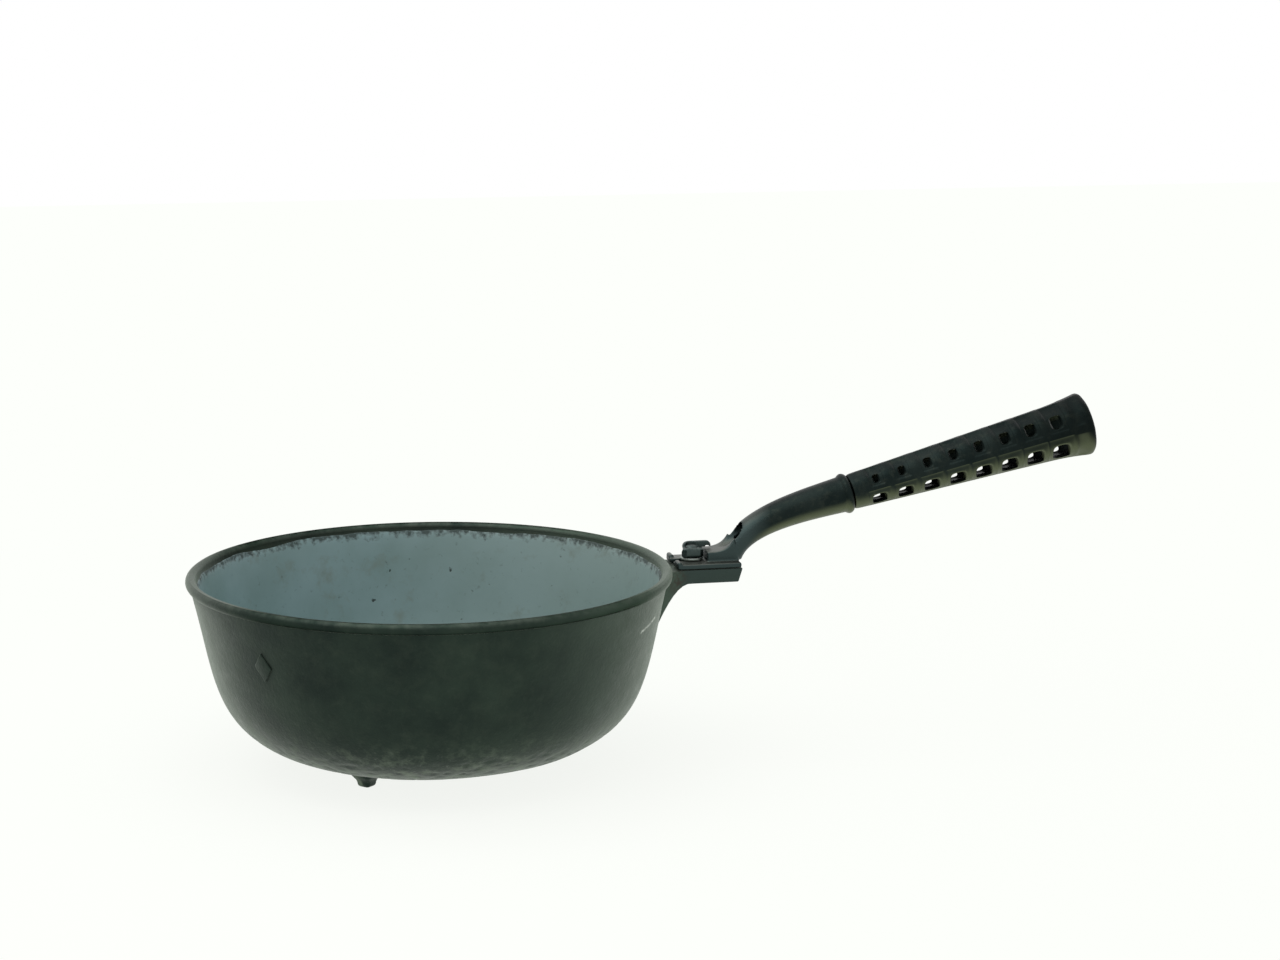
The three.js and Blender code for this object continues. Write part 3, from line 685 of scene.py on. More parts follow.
forged, tree = new_material("forged_iron_blackened")
spot = in_millimetres(tree)
grain, worn = (
    add_node(
        tree, "ShaderNodeTexNoise", {"Vector": spot, "Scale": 1 / size, "Detail": detail, "Roughness": 0.6},
    ).outputs[0]
    for size, detail in ((FORGE_GRAIN, 3), (WEAR_PATCH, 4))
)
facing = add_node(tree, "ShaderNodeNewGeometry").outputs["Normal"]
upward_face = add_node(tree, "ShaderNodeSeparateXYZ", {0: facing}).outputs["Z"]
wear_and_painted_light = add_node(tree, "ShaderNodeMapRange", {"Value": worn, 1: 0.45, 2: 0.75, 4: 0.5}).outputs[0]
up_faces_painted_light = add_node(tree, "ShaderNodeMapRange", {"Value": upward_face, 1: 0.2, 2: 0.9, 3: 0.3, 4: 1.0}).outputs[0]
wear_and_painted_light = add_node(tree, "ShaderNodeMath", {0: wear_and_painted_light, 1: up_faces_painted_light}, operation="MULTIPLY").outputs[0]
height = add_node(tree, "ShaderNodeSeparateXYZ", {0: spot}).outputs["Z"]
# Painted highlight: a band at the washer's height is painted bright.
washer_middle = (washer_low.z + washer_high.z) / 2
off_washer = add_node(tree, "ShaderNodeMath", {0: height, 1: washer_middle}, operation="SUBTRACT").outputs[0]
off_washer = add_node(tree, "ShaderNodeMath", {0: off_washer}, operation="ABSOLUTE").outputs[0]
washer_painted_highlight = add_node(tree, "ShaderNodeMapRange", {"Value": off_washer, 1: 0.75, 2: 0.65, 4: 0.8}).outputs[0]
colour = CLAMP_DARK
for share, tint in ((wear_and_painted_light, CLAMP_WORN_AND_PAINTED_LIGHT), (washer_painted_highlight, WASHER_PAINTED_HIGHLIGHT)):
    colour = add_node(tree, "ShaderNodeMix", {0: share, 6: colour, 7: tint}, data_type="RGBA").outputs[2]
rough = add_node(tree, "ShaderNodeMapRange", {"Value": worn, 1: 0.3, 2: 0.7, 3: 0.36, 4: 0.52}).outputs[0]
bumpy = add_node(
    tree, "ShaderNodeBump", {"Strength": 0.3, "Distance": 0.15 * MM, "Height": grain},
).outputs[0]
shader = add_node(
    tree, "ShaderNodeBsdfPrincipled",
    {"Base Color": colour, "Metallic": 1.0, "Roughness": rough, "Normal": bumpy},
)
add_node(tree, "ShaderNodeOutputMaterial", {"Surface": shader.outputs[0]})
finish_piece(bolt, "pan", "clamp_bolt", forged)

# Washer: a punched iron disc between the nut and the handle's foot, with its edge rolled over by the punch. A band at
# its height is painted bright in the clamp's iron, as a painted highlight.
WASHER_ROUND = 0.35
washer_radius = (washer_high.x - washer_low.x) / 2

outline = []
for centre, start in (
    (Vector((washer_radius - WASHER_ROUND, washer_low.z + WASHER_ROUND)), -90),
    (Vector((washer_radius - WASHER_ROUND, washer_high.z - WASHER_ROUND)), 0),
    (Vector((hole_radius + WASHER_ROUND, washer_high.z - WASHER_ROUND)), 90),
    (Vector((hole_radius + WASHER_ROUND, washer_low.z + WASHER_ROUND)), 180),
):
    outline += arc(centre, WASHER_ROUND, start, start + 90, 4)
bm = turned(outline, 72, closed=True)
bmesh.ops.translate(bm, verts=bm.verts, vec=(BOLT_X, 0, 0))
washer = raw_object("clamp_washer_punched", bm)
finish_piece(washer, "washer", "clamp_washer", forged)

# Thumb nut: a malleable iron nut with two upright ears, cast in one. The near ear is a rounded lobe, and the far
# one is longer and hooks over at its end. Low down both are turned back, so that they pass the handle's block.
nut_bottom = (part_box("thumb_nut")[0] / MM).z
NUT_RADIUS = 4.4
NUT_HEIGHT = 4.6
EAR_OFFSET = 2.1
NEAR_EAR_LENGTH = 11.6
NEAR_EAR_HEIGHT = 4.9
NEAR_EAR_THICK = 3.2
FAR_EAR_BACK = 3.8
FAR_EAR_REACH = 10.6
FAR_EAR_HEIGHT = 6.9
FAR_EAR_DEPTH = 2.3
FAR_EAR_THICK = 2.6
FAR_EAR_FOOT_BACK = 2.6
FAR_EAR_FOOT_FRONT = 4
FAR_EAR_FLANK = 7.8
FAR_EAR_DROOP = 0.5
FAR_EAR_TIP = 0.8
FAR_EAR_ROUND = 2.4
EAR_EDGE = 1.1
BLOCK_FROM_BOLT = 6.6
NUT_PAST_BLOCK = BLOCK_FROM_BOLT - GAP
NUT_OVER_BLOCK = 4.0
NUT_VOXEL = 0.2
EAR_STEPS = 6


def remeshed(thing, voxel, smoothings):
    """Makes one even skin over a joined shape and melts its edges, as casting and tumbling do."""
    modifier = thing.modifiers.new("skin", "REMESH")
    modifier.mode = "VOXEL"
    modifier.voxel_size = voxel
    modifier = thing.modifiers.new("melt", "SMOOTH")
    modifier.factor = 0.5
    modifier.iterations = smoothings
    apply_modifiers(thing)


half = NEAR_EAR_LENGTH / 2
near_outline = [Vector((-half, 0)), Vector((half, 0))]
near_outline += curve(
    Vector((half, NEAR_EAR_HEIGHT * 0.45)), Vector((half, NEAR_EAR_HEIGHT)), Vector((half * 0.45, NEAR_EAR_HEIGHT)),
    EAR_STEPS,
)
near_outline += curve(
    Vector((-half * 0.45, NEAR_EAR_HEIGHT)), Vector((-half, NEAR_EAR_HEIGHT)),
    Vector((-half, NEAR_EAR_HEIGHT * 0.45)), EAR_STEPS,
)
overhang = FAR_EAR_HEIGHT - FAR_EAR_DEPTH
droop = overhang - FAR_EAR_DROOP
far_outline = [
    Vector((-FAR_EAR_BACK, droop)),
    Vector((-FAR_EAR_FOOT_BACK, 0)),
    Vector((FAR_EAR_FOOT_FRONT, 0)),
    Vector((FAR_EAR_FLANK, droop)),
    Vector((FAR_EAR_FLANK, overhang)),
    Vector((FAR_EAR_REACH - FAR_EAR_TIP - FAR_EAR_DROOP, overhang)),
    Vector((FAR_EAR_REACH - FAR_EAR_TIP, droop)),
]
far_outline += curve(
    Vector((FAR_EAR_REACH, droop)), Vector((FAR_EAR_REACH, FAR_EAR_HEIGHT)),
    Vector((FAR_EAR_REACH - FAR_EAR_ROUND, FAR_EAR_HEIGHT)), EAR_STEPS,
)
far_outline += curve(
    Vector((0, FAR_EAR_HEIGHT)), Vector((-FAR_EAR_BACK, FAR_EAR_HEIGHT)), far_outline[0], EAR_STEPS,
)[:-1]

outline = [
    (0, 0), (NUT_RADIUS - 0.3, 0), (NUT_RADIUS, 0.3),
    (NUT_RADIUS, NUT_HEIGHT - 0.8), (NUT_RADIUS - 0.8, NUT_HEIGHT), (0, NUT_HEIGHT),
]
nut = raw_object("thumb_nut_cast", turned(outline, 48))
ears = []
for name, ear_outline, thick, offset in (
    ("near_ear", near_outline, NEAR_EAR_THICK, -EAR_OFFSET - NEAR_EAR_THICK / 2),
    ("far_ear", far_outline, FAR_EAR_THICK, EAR_OFFSET + FAR_EAR_THICK / 2),
):
    bm = side_slab(ear_outline, thick)
    round_edges(bm, EAR_EDGE)
    bmesh.ops.translate(bm, verts=bm.verts, vec=(0, offset, 0))
    ears.append(raw_object(name, bm))
join(nut, ears)
ring_outline = [
    (NUT_PAST_BLOCK, -1), (2 * FAR_EAR_REACH, -1),
    (2 * FAR_EAR_REACH, NUT_OVER_BLOCK), (NUT_PAST_BLOCK, NUT_OVER_BLOCK),
]
clear_ring = raw_object("clear_ring", turned(ring_outline, 72, closed=True))
nut_hole = raw_object("nut_hole", rod(hole_radius, 30, Matrix()))
join(nut, [clear_ring, nut_hole], "DIFFERENCE")
nut.data.transform(Matrix.Translation((BOLT_X, 0, nut_bottom)))
remeshed(nut, NUT_VOXEL, 5)
finish_piece(nut, "nut", "thumb_nut", forged, sharp=60)

# Handle's arm: one iron casting with a forked foot plate, a block on it, a hollow arm that bends up from it and
# opens towards the bowl in a trough, and a bead where the grip begins.
arm_low, arm_high = (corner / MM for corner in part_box("handle_arm"))
PLATE_START = arm_low.x
PLATE_END = LEDGE_END - 0.6
PLATE_BOTTOM = arm_low.z
PLATE_THICK = 2.4
PLATE_WIDTH = arm_high.y - arm_low.y
PLATE_ROUND = 0.55
PLATE_LIP_HEIGHT = 1.5
PLATE_LIP_WIDE = 2.4
BLOCK_WIDTH = 16
BLOCK_HEIGHT = 4.9
BLOCK_LEVEL = 4
BLOCK_ROUND = 0.8
RAMP_LENGTH = 9.8
RAMP_HEIGHT = 6.5
RAMP_RISE = 0.6
RAMP_SHARE = 0.75
RAMP_STEPS = 6
ARM_START_SHARE = 0.08
ARM_ROOT_WIDE = 7.4
ARM_ROOT_THICK = 5
ARM_END_RADIUS = 9.3
ARM_WALL = 2.6
BORE_START_SHARE = 0.22
TROUGH_END_SHARE = 0.45
TROUGH_BEND = 13.3
TROUGH_MOUTH_WIDE = 5.6
TROUGH_MOUTH_THICK = 4.9
COLLAR = Vector((RIM_RADIUS + 92.5, RIM_HEIGHT + 29.7))
COLLAR_RADIUS = 10.4
COLLAR_WIDTH = 4.6
BEAD_PLACES = (-2.1, -1.4, -0.7, 0, 0.7, 1.4, 2.1)
SPIGOT_RADIUS = 6.3
SPIGOT_LENGTH = 9
SPIGOT_WALL = 1.8
GRIP_SLOPE = math.radians(14)
ARM_VOXEL = 0.42
plate_top = PLATE_BOTTOM + PLATE_THICK
block_start = BOLT_X + BLOCK_FROM_BOLT
block_top = plate_top + BLOCK_HEIGHT
grip_way = Vector((math.cos(GRIP_SLOPE), math.sin(GRIP_SLOPE)))
arm_root = Vector((PLATE_END - 2.8, plate_top - 4.3))
ARM_LINE = [arm_root, arm_root + Vector((-2, 22)), COLLAR - grip_way * 22.6, COLLAR]
trough_height = block_top + TROUGH_MOUTH_THICK + 0.1
trough_start = Vector((block_start + BLOCK_LEVEL / 2, trough_height))
trough_bend = Vector((block_start + TROUGH_BEND, trough_height))
trough_end = bezier(ARM_LINE, TROUGH_END_SHARE)[0]
TROUGH_LINE = [
    trough_start, trough_start.lerp(trough_bend, 2 / 3), trough_end.lerp(trough_bend, 2 / 3), trough_end,
]


def between(start, end):
    """A size that runs evenly from one value to another along a line."""
    return lambda share: start + (end - start) * share


def bent_bar(name, line, start, end, wide, thick):
    """An oval bar along part of a line in the handle's plane: a cylinder bent on to it."""
    bm = bmesh.new()
    bmesh.ops.create_cone(bm, cap_ends=True, segments=48, radius1=1, radius2=1, depth=1)
    lengthwise = [edge for edge in bm.edges if abs(edge.verts[0].co.z - edge.verts[1].co.z) > 0.5]
    bmesh.ops.subdivide_edges(bm, edges=lengthwise, cuts=40, use_grid_fill=True)
    for vert in bm.verts:
        share = start + (end - start) * (vert.co.z + 0.5)
        at, along = bezier(line, share)
        up = vert.co.y * thick(share)
        vert.co = (at.x - along.y * up, vert.co.x * wide(share), at.y + along.x * up)
    bmesh.ops.recalc_face_normals(bm, faces=bm.faces)
    return raw_object(name, bm)


def to_grip(bm):
    """Turns a shape made along +X to the grip's slope, at the collar."""
    place = Matrix.Translation((COLLAR.x, 0, COLLAR.y)) @ Matrix.Rotation(-GRIP_SLOPE, 4, "Y")
    bmesh.ops.transform(bm, matrix=place, verts=bm.verts)


def along_x(outline, turns):
    """A closed shape turned about X from points of radius and distance along."""
    bm = turned(outline, turns)
    bmesh.ops.rotate(bm, verts=bm.verts, matrix=Matrix.Rotation(math.pi / 2, 3, "Y"))
    return bm


plate_middle = ((PLATE_START + PLATE_END) / 2, 0, PLATE_BOTTOM + PLATE_THICK / 2)
bm = box((PLATE_END - PLATE_START, PLATE_WIDTH, PLATE_THICK), plate_middle, PLATE_ROUND)
arm = raw_object("handle_arm_casting", bm)
lip_height = PLATE_THICK + PLATE_LIP_HEIGHT
lip_middle = (PLATE_START + PLATE_LIP_WIDE / 2, 0, PLATE_BOTTOM + lip_height / 2)
bm = box((PLATE_LIP_WIDE, PLATE_WIDTH, lip_height), lip_middle, PLATE_LIP_WIDE * 0.4, segments=4)
join(arm, [raw_object("plate_lip", bm)])

# The plate is forked for the bolt, and its lip is cut away where the washer passes.
slot_length = BOLT_X - PLATE_START + 4
slot_sizes = (slot_length, 2 * hole_radius, 5 * PLATE_THICK)
slot = raw_object("fork_slot", box(slot_sizes, (BOLT_X - slot_length / 2, 0, PLATE_BOTTOM)))
slot_place = Matrix.Translation((BOLT_X, 0, PLATE_BOTTOM))
slot_end = raw_object("slot_end", rod(hole_radius, 5 * PLATE_THICK + 0.02, slot_place, segments=48))
way_sizes = (4 * PLATE_LIP_WIDE, 2 * (washer_radius + GAP), 2 * PLATE_THICK)
washer_way = raw_object("washer_way", box(way_sizes, (PLATE_START, 0, plate_top + PLATE_THICK)))
join(arm, [slot, slot_end, washer_way], "DIFFERENCE")

ramp_foot = Vector((block_start + BLOCK_LEVEL, block_top))
ramp_head = Vector((ramp_foot.x + RAMP_LENGTH, block_top + RAMP_HEIGHT))
ramp_bend = Vector((ramp_foot.x + (ramp_head.x - ramp_foot.x) * RAMP_SHARE, block_top + RAMP_RISE))
sunk = PLATE_BOTTOM + PLATE_THICK / 2
block_outline = [(block_start, sunk), (PLATE_END, sunk), (PLATE_END, plate_top)]
block_outline += curve(ramp_head, ramp_bend, ramp_foot, RAMP_STEPS)
block_outline += [(block_start, block_top)]
bm = side_slab(block_outline, BLOCK_WIDTH)
round_edges(bm, BLOCK_ROUND, least_angle=40)
block = raw_object("foot_block", bm)

wide = between(ARM_ROOT_WIDE, ARM_END_RADIUS)
thick = between(ARM_ROOT_THICK, ARM_END_RADIUS)
bore_wide = between(ARM_ROOT_WIDE - ARM_WALL, ARM_END_RADIUS - ARM_WALL)
bore_thick = between(ARM_ROOT_THICK - ARM_WALL, ARM_END_RADIUS - ARM_WALL)
bar = bent_bar("bar", ARM_LINE, ARM_START_SHARE, 1, wide, thick)
bore = bent_bar("bore", ARM_LINE, BORE_START_SHARE, 1, bore_wide, bore_thick)
trough = bent_bar(
    "trough", TROUGH_LINE, 0, 1,
    between(TROUGH_MOUTH_WIDE, bore_wide(TROUGH_END_SHARE)),
    between(TROUGH_MOUTH_THICK, bore_thick(TROUGH_END_SHARE)),
)
half = COLLAR_WIDTH / 2
bead = [(COLLAR_RADIUS * math.sqrt(1 - (x / COLLAR_WIDTH) ** 2), x) for x in BEAD_PLACES]
outline = [(0, -half), (ARM_END_RADIUS - 0.3, -half)] + bead
outline += [
    (ARM_END_RADIUS - 0.9, half), (SPIGOT_RADIUS, half),
    (SPIGOT_RADIUS, half + SPIGOT_LENGTH), (0, half + SPIGOT_LENGTH),
]
bm = along_x(outline, 64)
to_grip(bm)
collar = raw_object("collar", bm)
through_length = 2 * (COLLAR_WIDTH + SPIGOT_LENGTH)
bm = rod(SPIGOT_RADIUS - SPIGOT_WALL, through_length, Matrix.Rotation(math.pi / 2, 4, "Y"))
bmesh.ops.translate(bm, verts=bm.verts, vec=(through_length / 2 - COLLAR_WIDTH, 0, 0))
to_grip(bm)
through = raw_object("through", bm)
join(arm, [block, bar, collar])
join(arm, [bore, trough, through], "DIFFERENCE")
remeshed(arm, ARM_VOXEL, 6)

# Close-grained iron of the handle: cast in finer sand and handled daily, so it is smoother and blacker than the bowl,
# with a greasy sheen, and brown grey where fingers and heat have dulled it. Faces that look down are painted paler and
# olive, a painted reflection of the floor; near the foot the iron is painted paler, with painted light on the faces
# that look up. Grain is drawn at 0.9 mm.
HANDLE_DARK = "#171f1e"
HANDLE_PALE = "#222a28"
HANDLE_DULL = "#3a3f37"
UNDERSIDE_PAINTED_LIGHT = "#59604a"
HANDLE_FOOT_PAINTED_LIGHT = "#3c4847"
HANDLE_TOP_PAINTED_LIGHT = "#73746b"
HANDLE_END = "#0c1110"
FOOT_FROM, FOOT_TO = 172, 160
END_FROM, END_TO = 270, 340
FINE_GRAIN = 0.9
LUMP = 3.6
HANDLE_PATCH = 17

handle_iron, tree = new_material("fine_cast_iron_handled")
spot = in_millimetres(tree)
patch, lump, grain = (
    add_node(
        tree, "ShaderNodeTexNoise", {"Vector": spot, "Scale": 1 / size, "Detail": detail, "Roughness": rough},
    ).outputs[0]
    for size, detail, rough in ((HANDLE_PATCH, 5, 0.6), (LUMP, 4, 0.65), (FINE_GRAIN, 2, 0.5))
)
out_from_bowl = add_node(tree, "ShaderNodeSeparateXYZ", {0: spot}).outputs["X"]
facing = add_node(tree, "ShaderNodeNewGeometry").outputs["Normal"]
upward_face = add_node(tree, "ShaderNodeSeparateXYZ", {0: facing}).outputs["Z"]
tone, dulled, at_end, near_foot_painted_light, off_foot, top_painted_light = (
    add_node(tree, "ShaderNodeMapRange", {"Value": value, 1: low, 2: high, 4: most}).outputs[0]
    for value, low, high, most in (
        (patch, 0.35, 0.65, 1.0),
        (lump, 0.5, 0.75, 0.4),
        (out_from_bowl, END_FROM, END_TO, 0.7),
        # painted light: the iron is painted paler near the foot, a painted reflection on its faces
        (out_from_bowl, FOOT_FROM, FOOT_TO, 0.8),
        (out_from_bowl, FOOT_TO, FOOT_FROM, 1.0),
        (upward_face, 0.6, 0.95, 0.6),
    )
)
# Painted reflection: away from the foot, faces that look down are painted paler and olive.
under = add_node(
    tree, "ShaderNodeMapRange", {"Value": upward_face, 1: -0.1, 2: -0.65}, interpolation_type="SMOOTHSTEP",
).outputs[0]
# Painted light: near the foot, the faces that look up are painted pale.
top_painted_light = add_node(tree, "ShaderNodeMath", {0: top_painted_light, 1: near_foot_painted_light}, operation="MULTIPLY").outputs[0]
under = add_node(tree, "ShaderNodeMath", {0: under, 1: off_foot}, operation="MULTIPLY").outputs[0]
colour = HANDLE_DARK
for share, tint in (
    (tone, HANDLE_PALE), (dulled, HANDLE_DULL), (at_end, HANDLE_END), (near_foot_painted_light, HANDLE_FOOT_PAINTED_LIGHT), (top_painted_light, HANDLE_TOP_PAINTED_LIGHT),
    (under, UNDERSIDE_PAINTED_LIGHT),
):
    colour = add_node(tree, "ShaderNodeMix", {0: share, 6: colour, 7: tint}, data_type="RGBA").outputs[2]
rough = add_node(tree, "ShaderNodeMapRange", {"Value": patch, 1: 0.3, 2: 0.7, 3: 0.36, 4: 0.5}).outputs[0]
fine = add_node(
    tree, "ShaderNodeBump", {"Strength": 0.25, "Distance": 0.12 * MM, "Height": grain},
).outputs[0]
lumpy = add_node(
    tree, "ShaderNodeBump", {"Strength": 0.4, "Distance": 0.3 * MM, "Height": lump, "Normal": fine},
).outputs[0]
shader = add_node(
    tree, "ShaderNodeBsdfPrincipled",
    {"Base Color": colour, "Metallic": 1.0, "Roughness": rough, "Normal": lumpy},
)
add_node(tree, "ShaderNodeOutputMaterial", {"Surface": shader.outputs[0]})
finish_piece(arm, "handle", "handle_arm", handle_iron, sharp=60)

# Grip: a hollow, tapering iron sleeve driven on to the arm's spigot, with two rows of square holes down each side
# that keep it cool. They run level through it, out of shallow cells. Its flared mouth ends in a round lip.
GRIP_LENGTH = 131.6
GRIP_START = COLLAR_WIDTH / 2 + GAP
GRIP_START_RADIUS = 9
GRIP_SWELL_RADIUS = 14
GRIP_FLARE_LENGTH = 21
GRIP_FLARE_START_SLOPE = 0.4
GRIP_MOUTH_RADIUS = 16.4
GRIP_LIP_LENGTH = 2.6
GRIP_LIP_ROUND = 1.2
GRIP_WALL = 2.4
HOLES_IN_ROW = 8
HOLE_FIRST = 15.8
HOLE_PITCH = 13.9
HOLE_DRAFT = 0.35
BORE_DRAFT = -0.8
HOLE_CORNER = 0.9
CELL_PAST = 1.5
CELL_DEEP = (0.8, 0.8, 0.25, 0.25)
WALL_RUN = 0.35
MEAN_HOLE = (5.9, 8.0)
BAND_SECTORS = 3
DENT_FROM, DENT_TO = 121.5, 127.5
DENT_DEEP = 0.8
DENT_EDGE = 0.9
GRIP_SMOOTH = 2
lip_start = GRIP_LENGTH - GRIP_LIP_LENGTH
flare_start = lip_start - GRIP_FLARE_LENGTH
last_hole = HOLE_FIRST + HOLE_PITCH * (HOLES_IN_ROW - 1)
hole_centres = [HOLE_FIRST + HOLE_PITCH * i for i in range(HOLES_IN_ROW)]

# Bearings round the sleeve of each row's ridge, cell and hole, in degrees, then the length of its first and last
# hole. 0 is the far side and 90 the top. The last ridge closes the row.
ROWS = (
    ((0, 9.5, 12, 16.5, 49.5, 82, 85, 87), (3.2, 6.1)),
    ((93, 95, 98, 130.5, 163.5, 168, 170.5, 180), (3.2, 6.1)),
    ((180, 182, 184, 197, 240, 245, 247, 250), (7.6, 9.2)),
    ((290, 293, 295, 300, 343, 356, 358, 360), (7.6, 9.2)),
)

# In the bore the holes reach further up and down, so that they run level through the grip. The corners of the lower
# cells move with them.
BORE_TOP = 122
BORE_BOTTOM = 249.5
BORE_LEVEL = 1.08
BORE_SPREAD = {245: 253, 247: 255, 250: 257.5}
HOLE_PLACES = (3, 4, 5, 6)
FAR_ROW = {0: 1, 3: 2}
FAR_PLACE = {place: 9 - place for place in range(9)}


def grip_radius(along):
    """Outer radius of the grip at a distance from the collar's middle, up to its lip."""
    if along <= flare_start:
        return GRIP_START_RADIUS + (GRIP_SWELL_RADIUS - GRIP_START_RADIUS) * along / flare_start
    flare = min((along - flare_start) / GRIP_FLARE_LENGTH, 1)
    bend = flare * (GRIP_FLARE_START_SLOPE + (1 - GRIP_FLARE_START_SLOPE) * flare)
    return GRIP_SWELL_RADIUS + (GRIP_MOUTH_RADIUS - GRIP_SWELL_RADIUS) * bend


def hole_half(sizes, along):
    """Half a hole's length or width, which grows towards the mouth."""
    share = min(max((along - HOLE_FIRST) / (last_hole - HOLE_FIRST), 0), 1)
    return (sizes[0] + (sizes[1] - sizes[0]) * share) / 2


def past_hole(half, part):
    """How far a part lies from its hole: 0 is its centre, 1 its end, 2 the cell's end, 3 the top of the cell's wall."""
    return (0, half, half + CELL_PAST, half + CELL_PAST + WALL_RUN)[part]


def bore_bearing(bearing, place, row, along):
    """The bearing in the bore of what lies at a bearing outside. The far side mirrors the near one."""
    if not 90 <= bearing <= 270:
        opposite = (540 - bearing) % 360
        return (540 - bore_bearing(opposite, FAR_PLACE.get(place), FAR_ROW.get(row), along)) % 360
    if place not in HOLE_PLACES:
        return BORE_SPREAD.get(bearing, bearing)
    full = grip_radius(along)
    level = ROWS[row][0][4] if row == 1 else ROWS[row][0][3]
    height = math.sin(math.radians(level - 180)) * full / (full - GRIP_WALL) * BORE_LEVEL
    level = 180 + math.degrees(math.asin(height))
    start, end = (BORE_TOP, level) if row == 1 else (level, BORE_BOTTOM)
    return start + (end - start) * (place - 3) / 3


stations = {GRIP_START: None, GRIP_START + 0.7: None, HOLE_FIRST - HOLE_PITCH / 2: None}
for centre in hole_centres:
    for part in (-3, -2, -1, 0, 1, 2, 3):
        off = math.copysign(past_hole(hole_half(MEAN_HOLE, centre), abs(part)), part)
        stations[round(centre + off, 3)] = (centre, part)
for at in (DENT_FROM, DENT_FROM + DENT_EDGE, DENT_TO - DENT_EDGE, DENT_TO, lip_start):
    stations[at] = None
outer = [Vector((grip_radius(at), at)) for at in stations]
inner = [(grip_radius(at) - GRIP_WALL, at) for at in reversed(stations)]
outer[0].x -= 0.6
lip = [
    (GRIP_MOUTH_RADIUS - GRIP_LIP_ROUND * 0.25, lip_start + GRIP_LIP_LENGTH * 0.6),
    (GRIP_MOUTH_RADIUS - GRIP_LIP_ROUND, GRIP_LENGTH - 0.1),
    (GRIP_MOUTH_RADIUS - GRIP_WALL + 0.5, GRIP_LENGTH),
    (GRIP_MOUTH_RADIUS - GRIP_WALL, GRIP_LENGTH - 0.8),
]

# Round the sleeve run the two rows of one side, a plain band, the rows of the other side, and a band again.
columns = []
for row, (marks, _) in enumerate(ROWS):
    start, end = marks[3:5]
    bearings = marks[:3] + (start, start + (end - start) / 3, start + (end - start) * 2 / 3, end) + marks[5:7]
    columns += [(bearing, row, place) for place, bearing in enumerate(bearings)]
    band = (ROWS[(row + 1) % len(ROWS)][0][0] - marks[7]) % 360
    if band:
        columns += [(marks[7] + band * i / BAND_SECTORS, None, None) for i in range(BAND_SECTORS)]
sectors = len(columns)
sector_angle = math.tau / sectors
bm = turned(outer + lip + inner, sectors, closed=True)
crease = bm.edges.layers.float.new("crease_edge")

# The faces of each hole are taken out of both walls, and the two openings are bridged.
holes = {}
for face in bm.faces:
    middle = face.calc_center_median()
    sector = int(math.atan2(middle.y, middle.x) / sector_angle % sectors)
    _, row, place = columns[sector]
    if place not in HOLE_PLACES[:3]:
        continue
    for index, centre in enumerate(hole_centres):
        if abs(middle.z - centre) < hole_half(MEAN_HOLE, centre):
            holes.setdefault((row, index), set()).add(face)
rims = []
for faces in holes.values():
    edges = {edge for face in faces for edge in face.edges}
    rims.append([edge for edge in edges if sum(face in faces for face in edge.link_faces) == 1])
doomed = [face for faces in holes.values() for face in faces]
bmesh.ops.delete(bm, geom=doomed, context="FACES")
for rim in rims:
    for edge in rim:
        edge[crease] = 0.5
    bmesh.ops.bridge_loops(bm, edges=rim)

# Each corner then moves round to its hole's edge or its ridge, and the cells are sunk.
for vert in bm.verts:
    along = vert.co.z
    radius = math.hypot(vert.co.x, vert.co.y)
    outside = radius > grip_radius(along) - GRIP_WALL / 2
    bearing, row, place = columns[round(math.atan2(vert.co.y, vert.co.x) / sector_angle) % sectors]
    mark = stations.get(round(along, 3))
    turn = bearing if outside else bore_bearing(bearing, place, row, along)
    if mark and place:
        centre, part = mark
        draft = HOLE_DRAFT if outside else BORE_DRAFT
        half_long = hole_half(ROWS[row][1], centre) + draft
        if abs(part) == 1 and place in (3, 6):
            half_long *= HOLE_CORNER
            turn += (1 if place == 3 else -1) * (1 - HOLE_CORNER) * (ROWS[row][0][4] - ROWS[row][0][3]) / 2
        along = centre + math.copysign(past_hole(half_long, abs(part)), part)
        if outside and place in (2, 3, 4, 5, 6, 7) and abs(part) < 3:
            radius -= CELL_DEEP[row]
    if outside and place in HOLE_PLACES and DENT_FROM + 0.1 < along < DENT_TO - 0.1:
        radius -= DENT_DEEP
    turn = math.radians(turn)
    vert.co = (along, radius * math.cos(turn), radius * math.sin(turn))
bmesh.ops.recalc_face_normals(bm, faces=bm.faces)
to_grip(bm)
grip = raw_object("handle_grip_sleeve", bm)
smooth = grip.modifiers.new("smooth", "SUBSURF")
smooth.levels = GRIP_SMOOTH
smooth.render_levels = GRIP_SMOOTH
apply_modifiers(grip)
finish_piece(grip, "handle", "handle_grip", handle_iron, sharp=60)

# Floor: a plain pale sheet under the feet. Far from the pan it shows plain white to the camera.
FLOOR_HALF = 3.0
FLOOR_PALE = "#f4f7f2"
FLOOR_WHITE = "#fdfffb"
FADE_FROM, FADE_TO = 0.1, 0.6
SHADOW_LEFT = 0.12

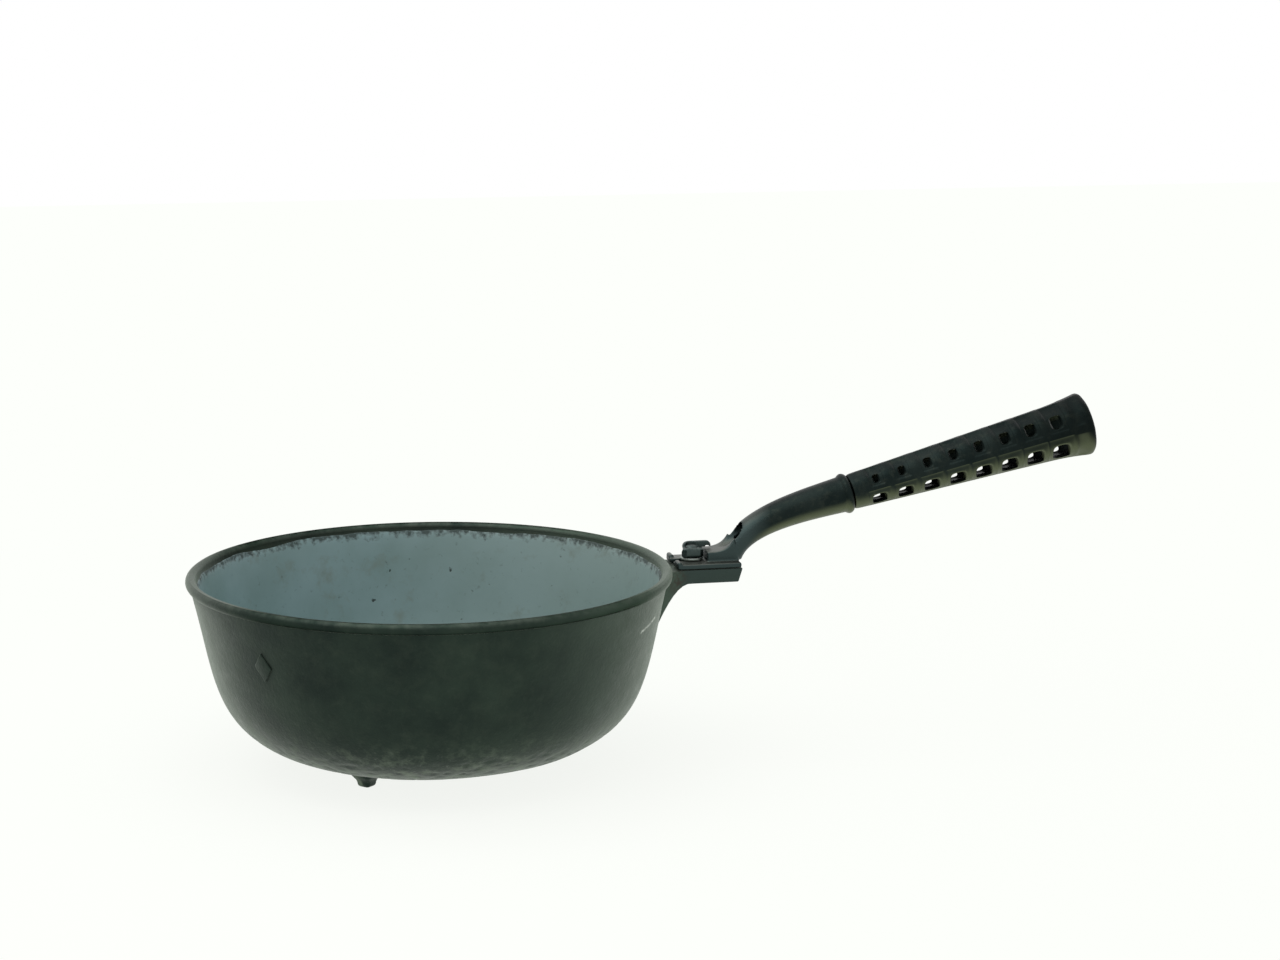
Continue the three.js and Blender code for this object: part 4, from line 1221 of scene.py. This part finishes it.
bm = bmesh.new()
bmesh.ops.create_grid(bm, x_segments=1, y_segments=1, size=FLOOR_HALF / MM)
bmesh.ops.translate(bm, verts=bm.verts, vec=(0, 0, -FOOT_HEIGHT))
floor = raw_object("floor", bm)
floor.data.transform(Matrix.Scale(MM, 4))
paper, tree = new_material("pale_paper")
place = add_node(tree, "ShaderNodeTexCoord").outputs["Object"]
away = add_node(tree, "ShaderNodeVectorMath", {0: place}, operation="LENGTH").outputs["Value"]
fade = add_node(
    tree, "ShaderNodeMapRange", {"Value": away, 1: FADE_FROM, 2: FADE_TO, 3: 1 - SHADOW_LEFT},
    interpolation_type="SMOOTHSTEP",
).outputs[0]
rays = add_node(tree, "ShaderNodeLightPath")
seen = add_node(
    tree, "ShaderNodeMath",
    {0: rays.outputs["Is Camera Ray"], 1: rays.outputs["Is Glossy Ray"]}, operation="MAXIMUM",
).outputs[0]
share = add_node(tree, "ShaderNodeMath", {0: fade, 1: seen}, operation="MULTIPLY").outputs[0]
matt = add_node(tree, "ShaderNodeBsdfDiffuse", {"Color": FLOOR_PALE}).outputs[0]
plain = add_node(tree, "ShaderNodeEmission", {"Color": FLOOR_WHITE, "Strength": 1.0}).outputs[0]
mixed = add_node(tree, "ShaderNodeMixShader", {0: share, 1: matt, 2: plain}).outputs[0]
add_node(tree, "ShaderNodeOutputMaterial", {"Surface": mixed})
floor.data.materials.append(paper)

# Light: an even white surround, as in a light tent, and one broad soft lamp above.
AMBIENT = 0.78
LAMP_POWER = 9
LAMP_SIZE = 1.4
LAMP_PLACE = (-0.5, -0.2, 1.2)

world = bpy.data.worlds.new("light_tent")
bpy.context.scene.world = world
world.use_nodes = True
tree = world.node_tree
tree.nodes.clear()
rays = add_node(tree, "ShaderNodeLightPath")
seen = add_node(
    tree, "ShaderNodeMath",
    {0: rays.outputs["Is Camera Ray"], 1: rays.outputs["Is Glossy Ray"]}, operation="MAXIMUM",
).outputs[0]
seen = add_node(
    tree, "ShaderNodeMath", {0: seen, 1: rays.outputs["Is Transmission Ray"]}, operation="MAXIMUM",
).outputs[0]
strength = add_node(tree, "ShaderNodeMapRange", {"Value": seen, 3: AMBIENT, 4: 1.0}).outputs[0]
sky = add_node(tree, "ShaderNodeBackground", {"Color": "#ffffff", "Strength": strength}).outputs[0]
add_node(tree, "ShaderNodeOutputWorld", {"Surface": sky})

lamp_data = bpy.data.lights.new("soft_lamp", "AREA")
lamp_data.energy = LAMP_POWER
lamp_data.size = LAMP_SIZE
lamp = bpy.data.objects.new("soft_lamp", lamp_data)
bpy.context.scene.collection.objects.link(lamp)
lamp.location = LAMP_PLACE

# Camera: a little above the rim and a little to the left of the pan, as the pan was seen.
CAMERA_PLACE = (-0.2, -1.4405, 0.4113)
CAMERA_DOWN = 10.69
CAMERA_TURN = -12
CAMERA_LENS = 84.375

camera_data = bpy.data.cameras.new("camera")
camera_data.lens = CAMERA_LENS
camera_data.sensor_width = 36
camera_data.sensor_fit = "HORIZONTAL"
camera = bpy.data.objects.new("camera", camera_data)
bpy.context.scene.collection.objects.link(camera)
camera.location = CAMERA_PLACE
camera.rotation_euler = (math.radians(90 - CAMERA_DOWN), 0, math.radians(CAMERA_TURN))
bpy.context.scene.camera = camera
bpy.context.scene.view_settings.view_transform = "Standard"
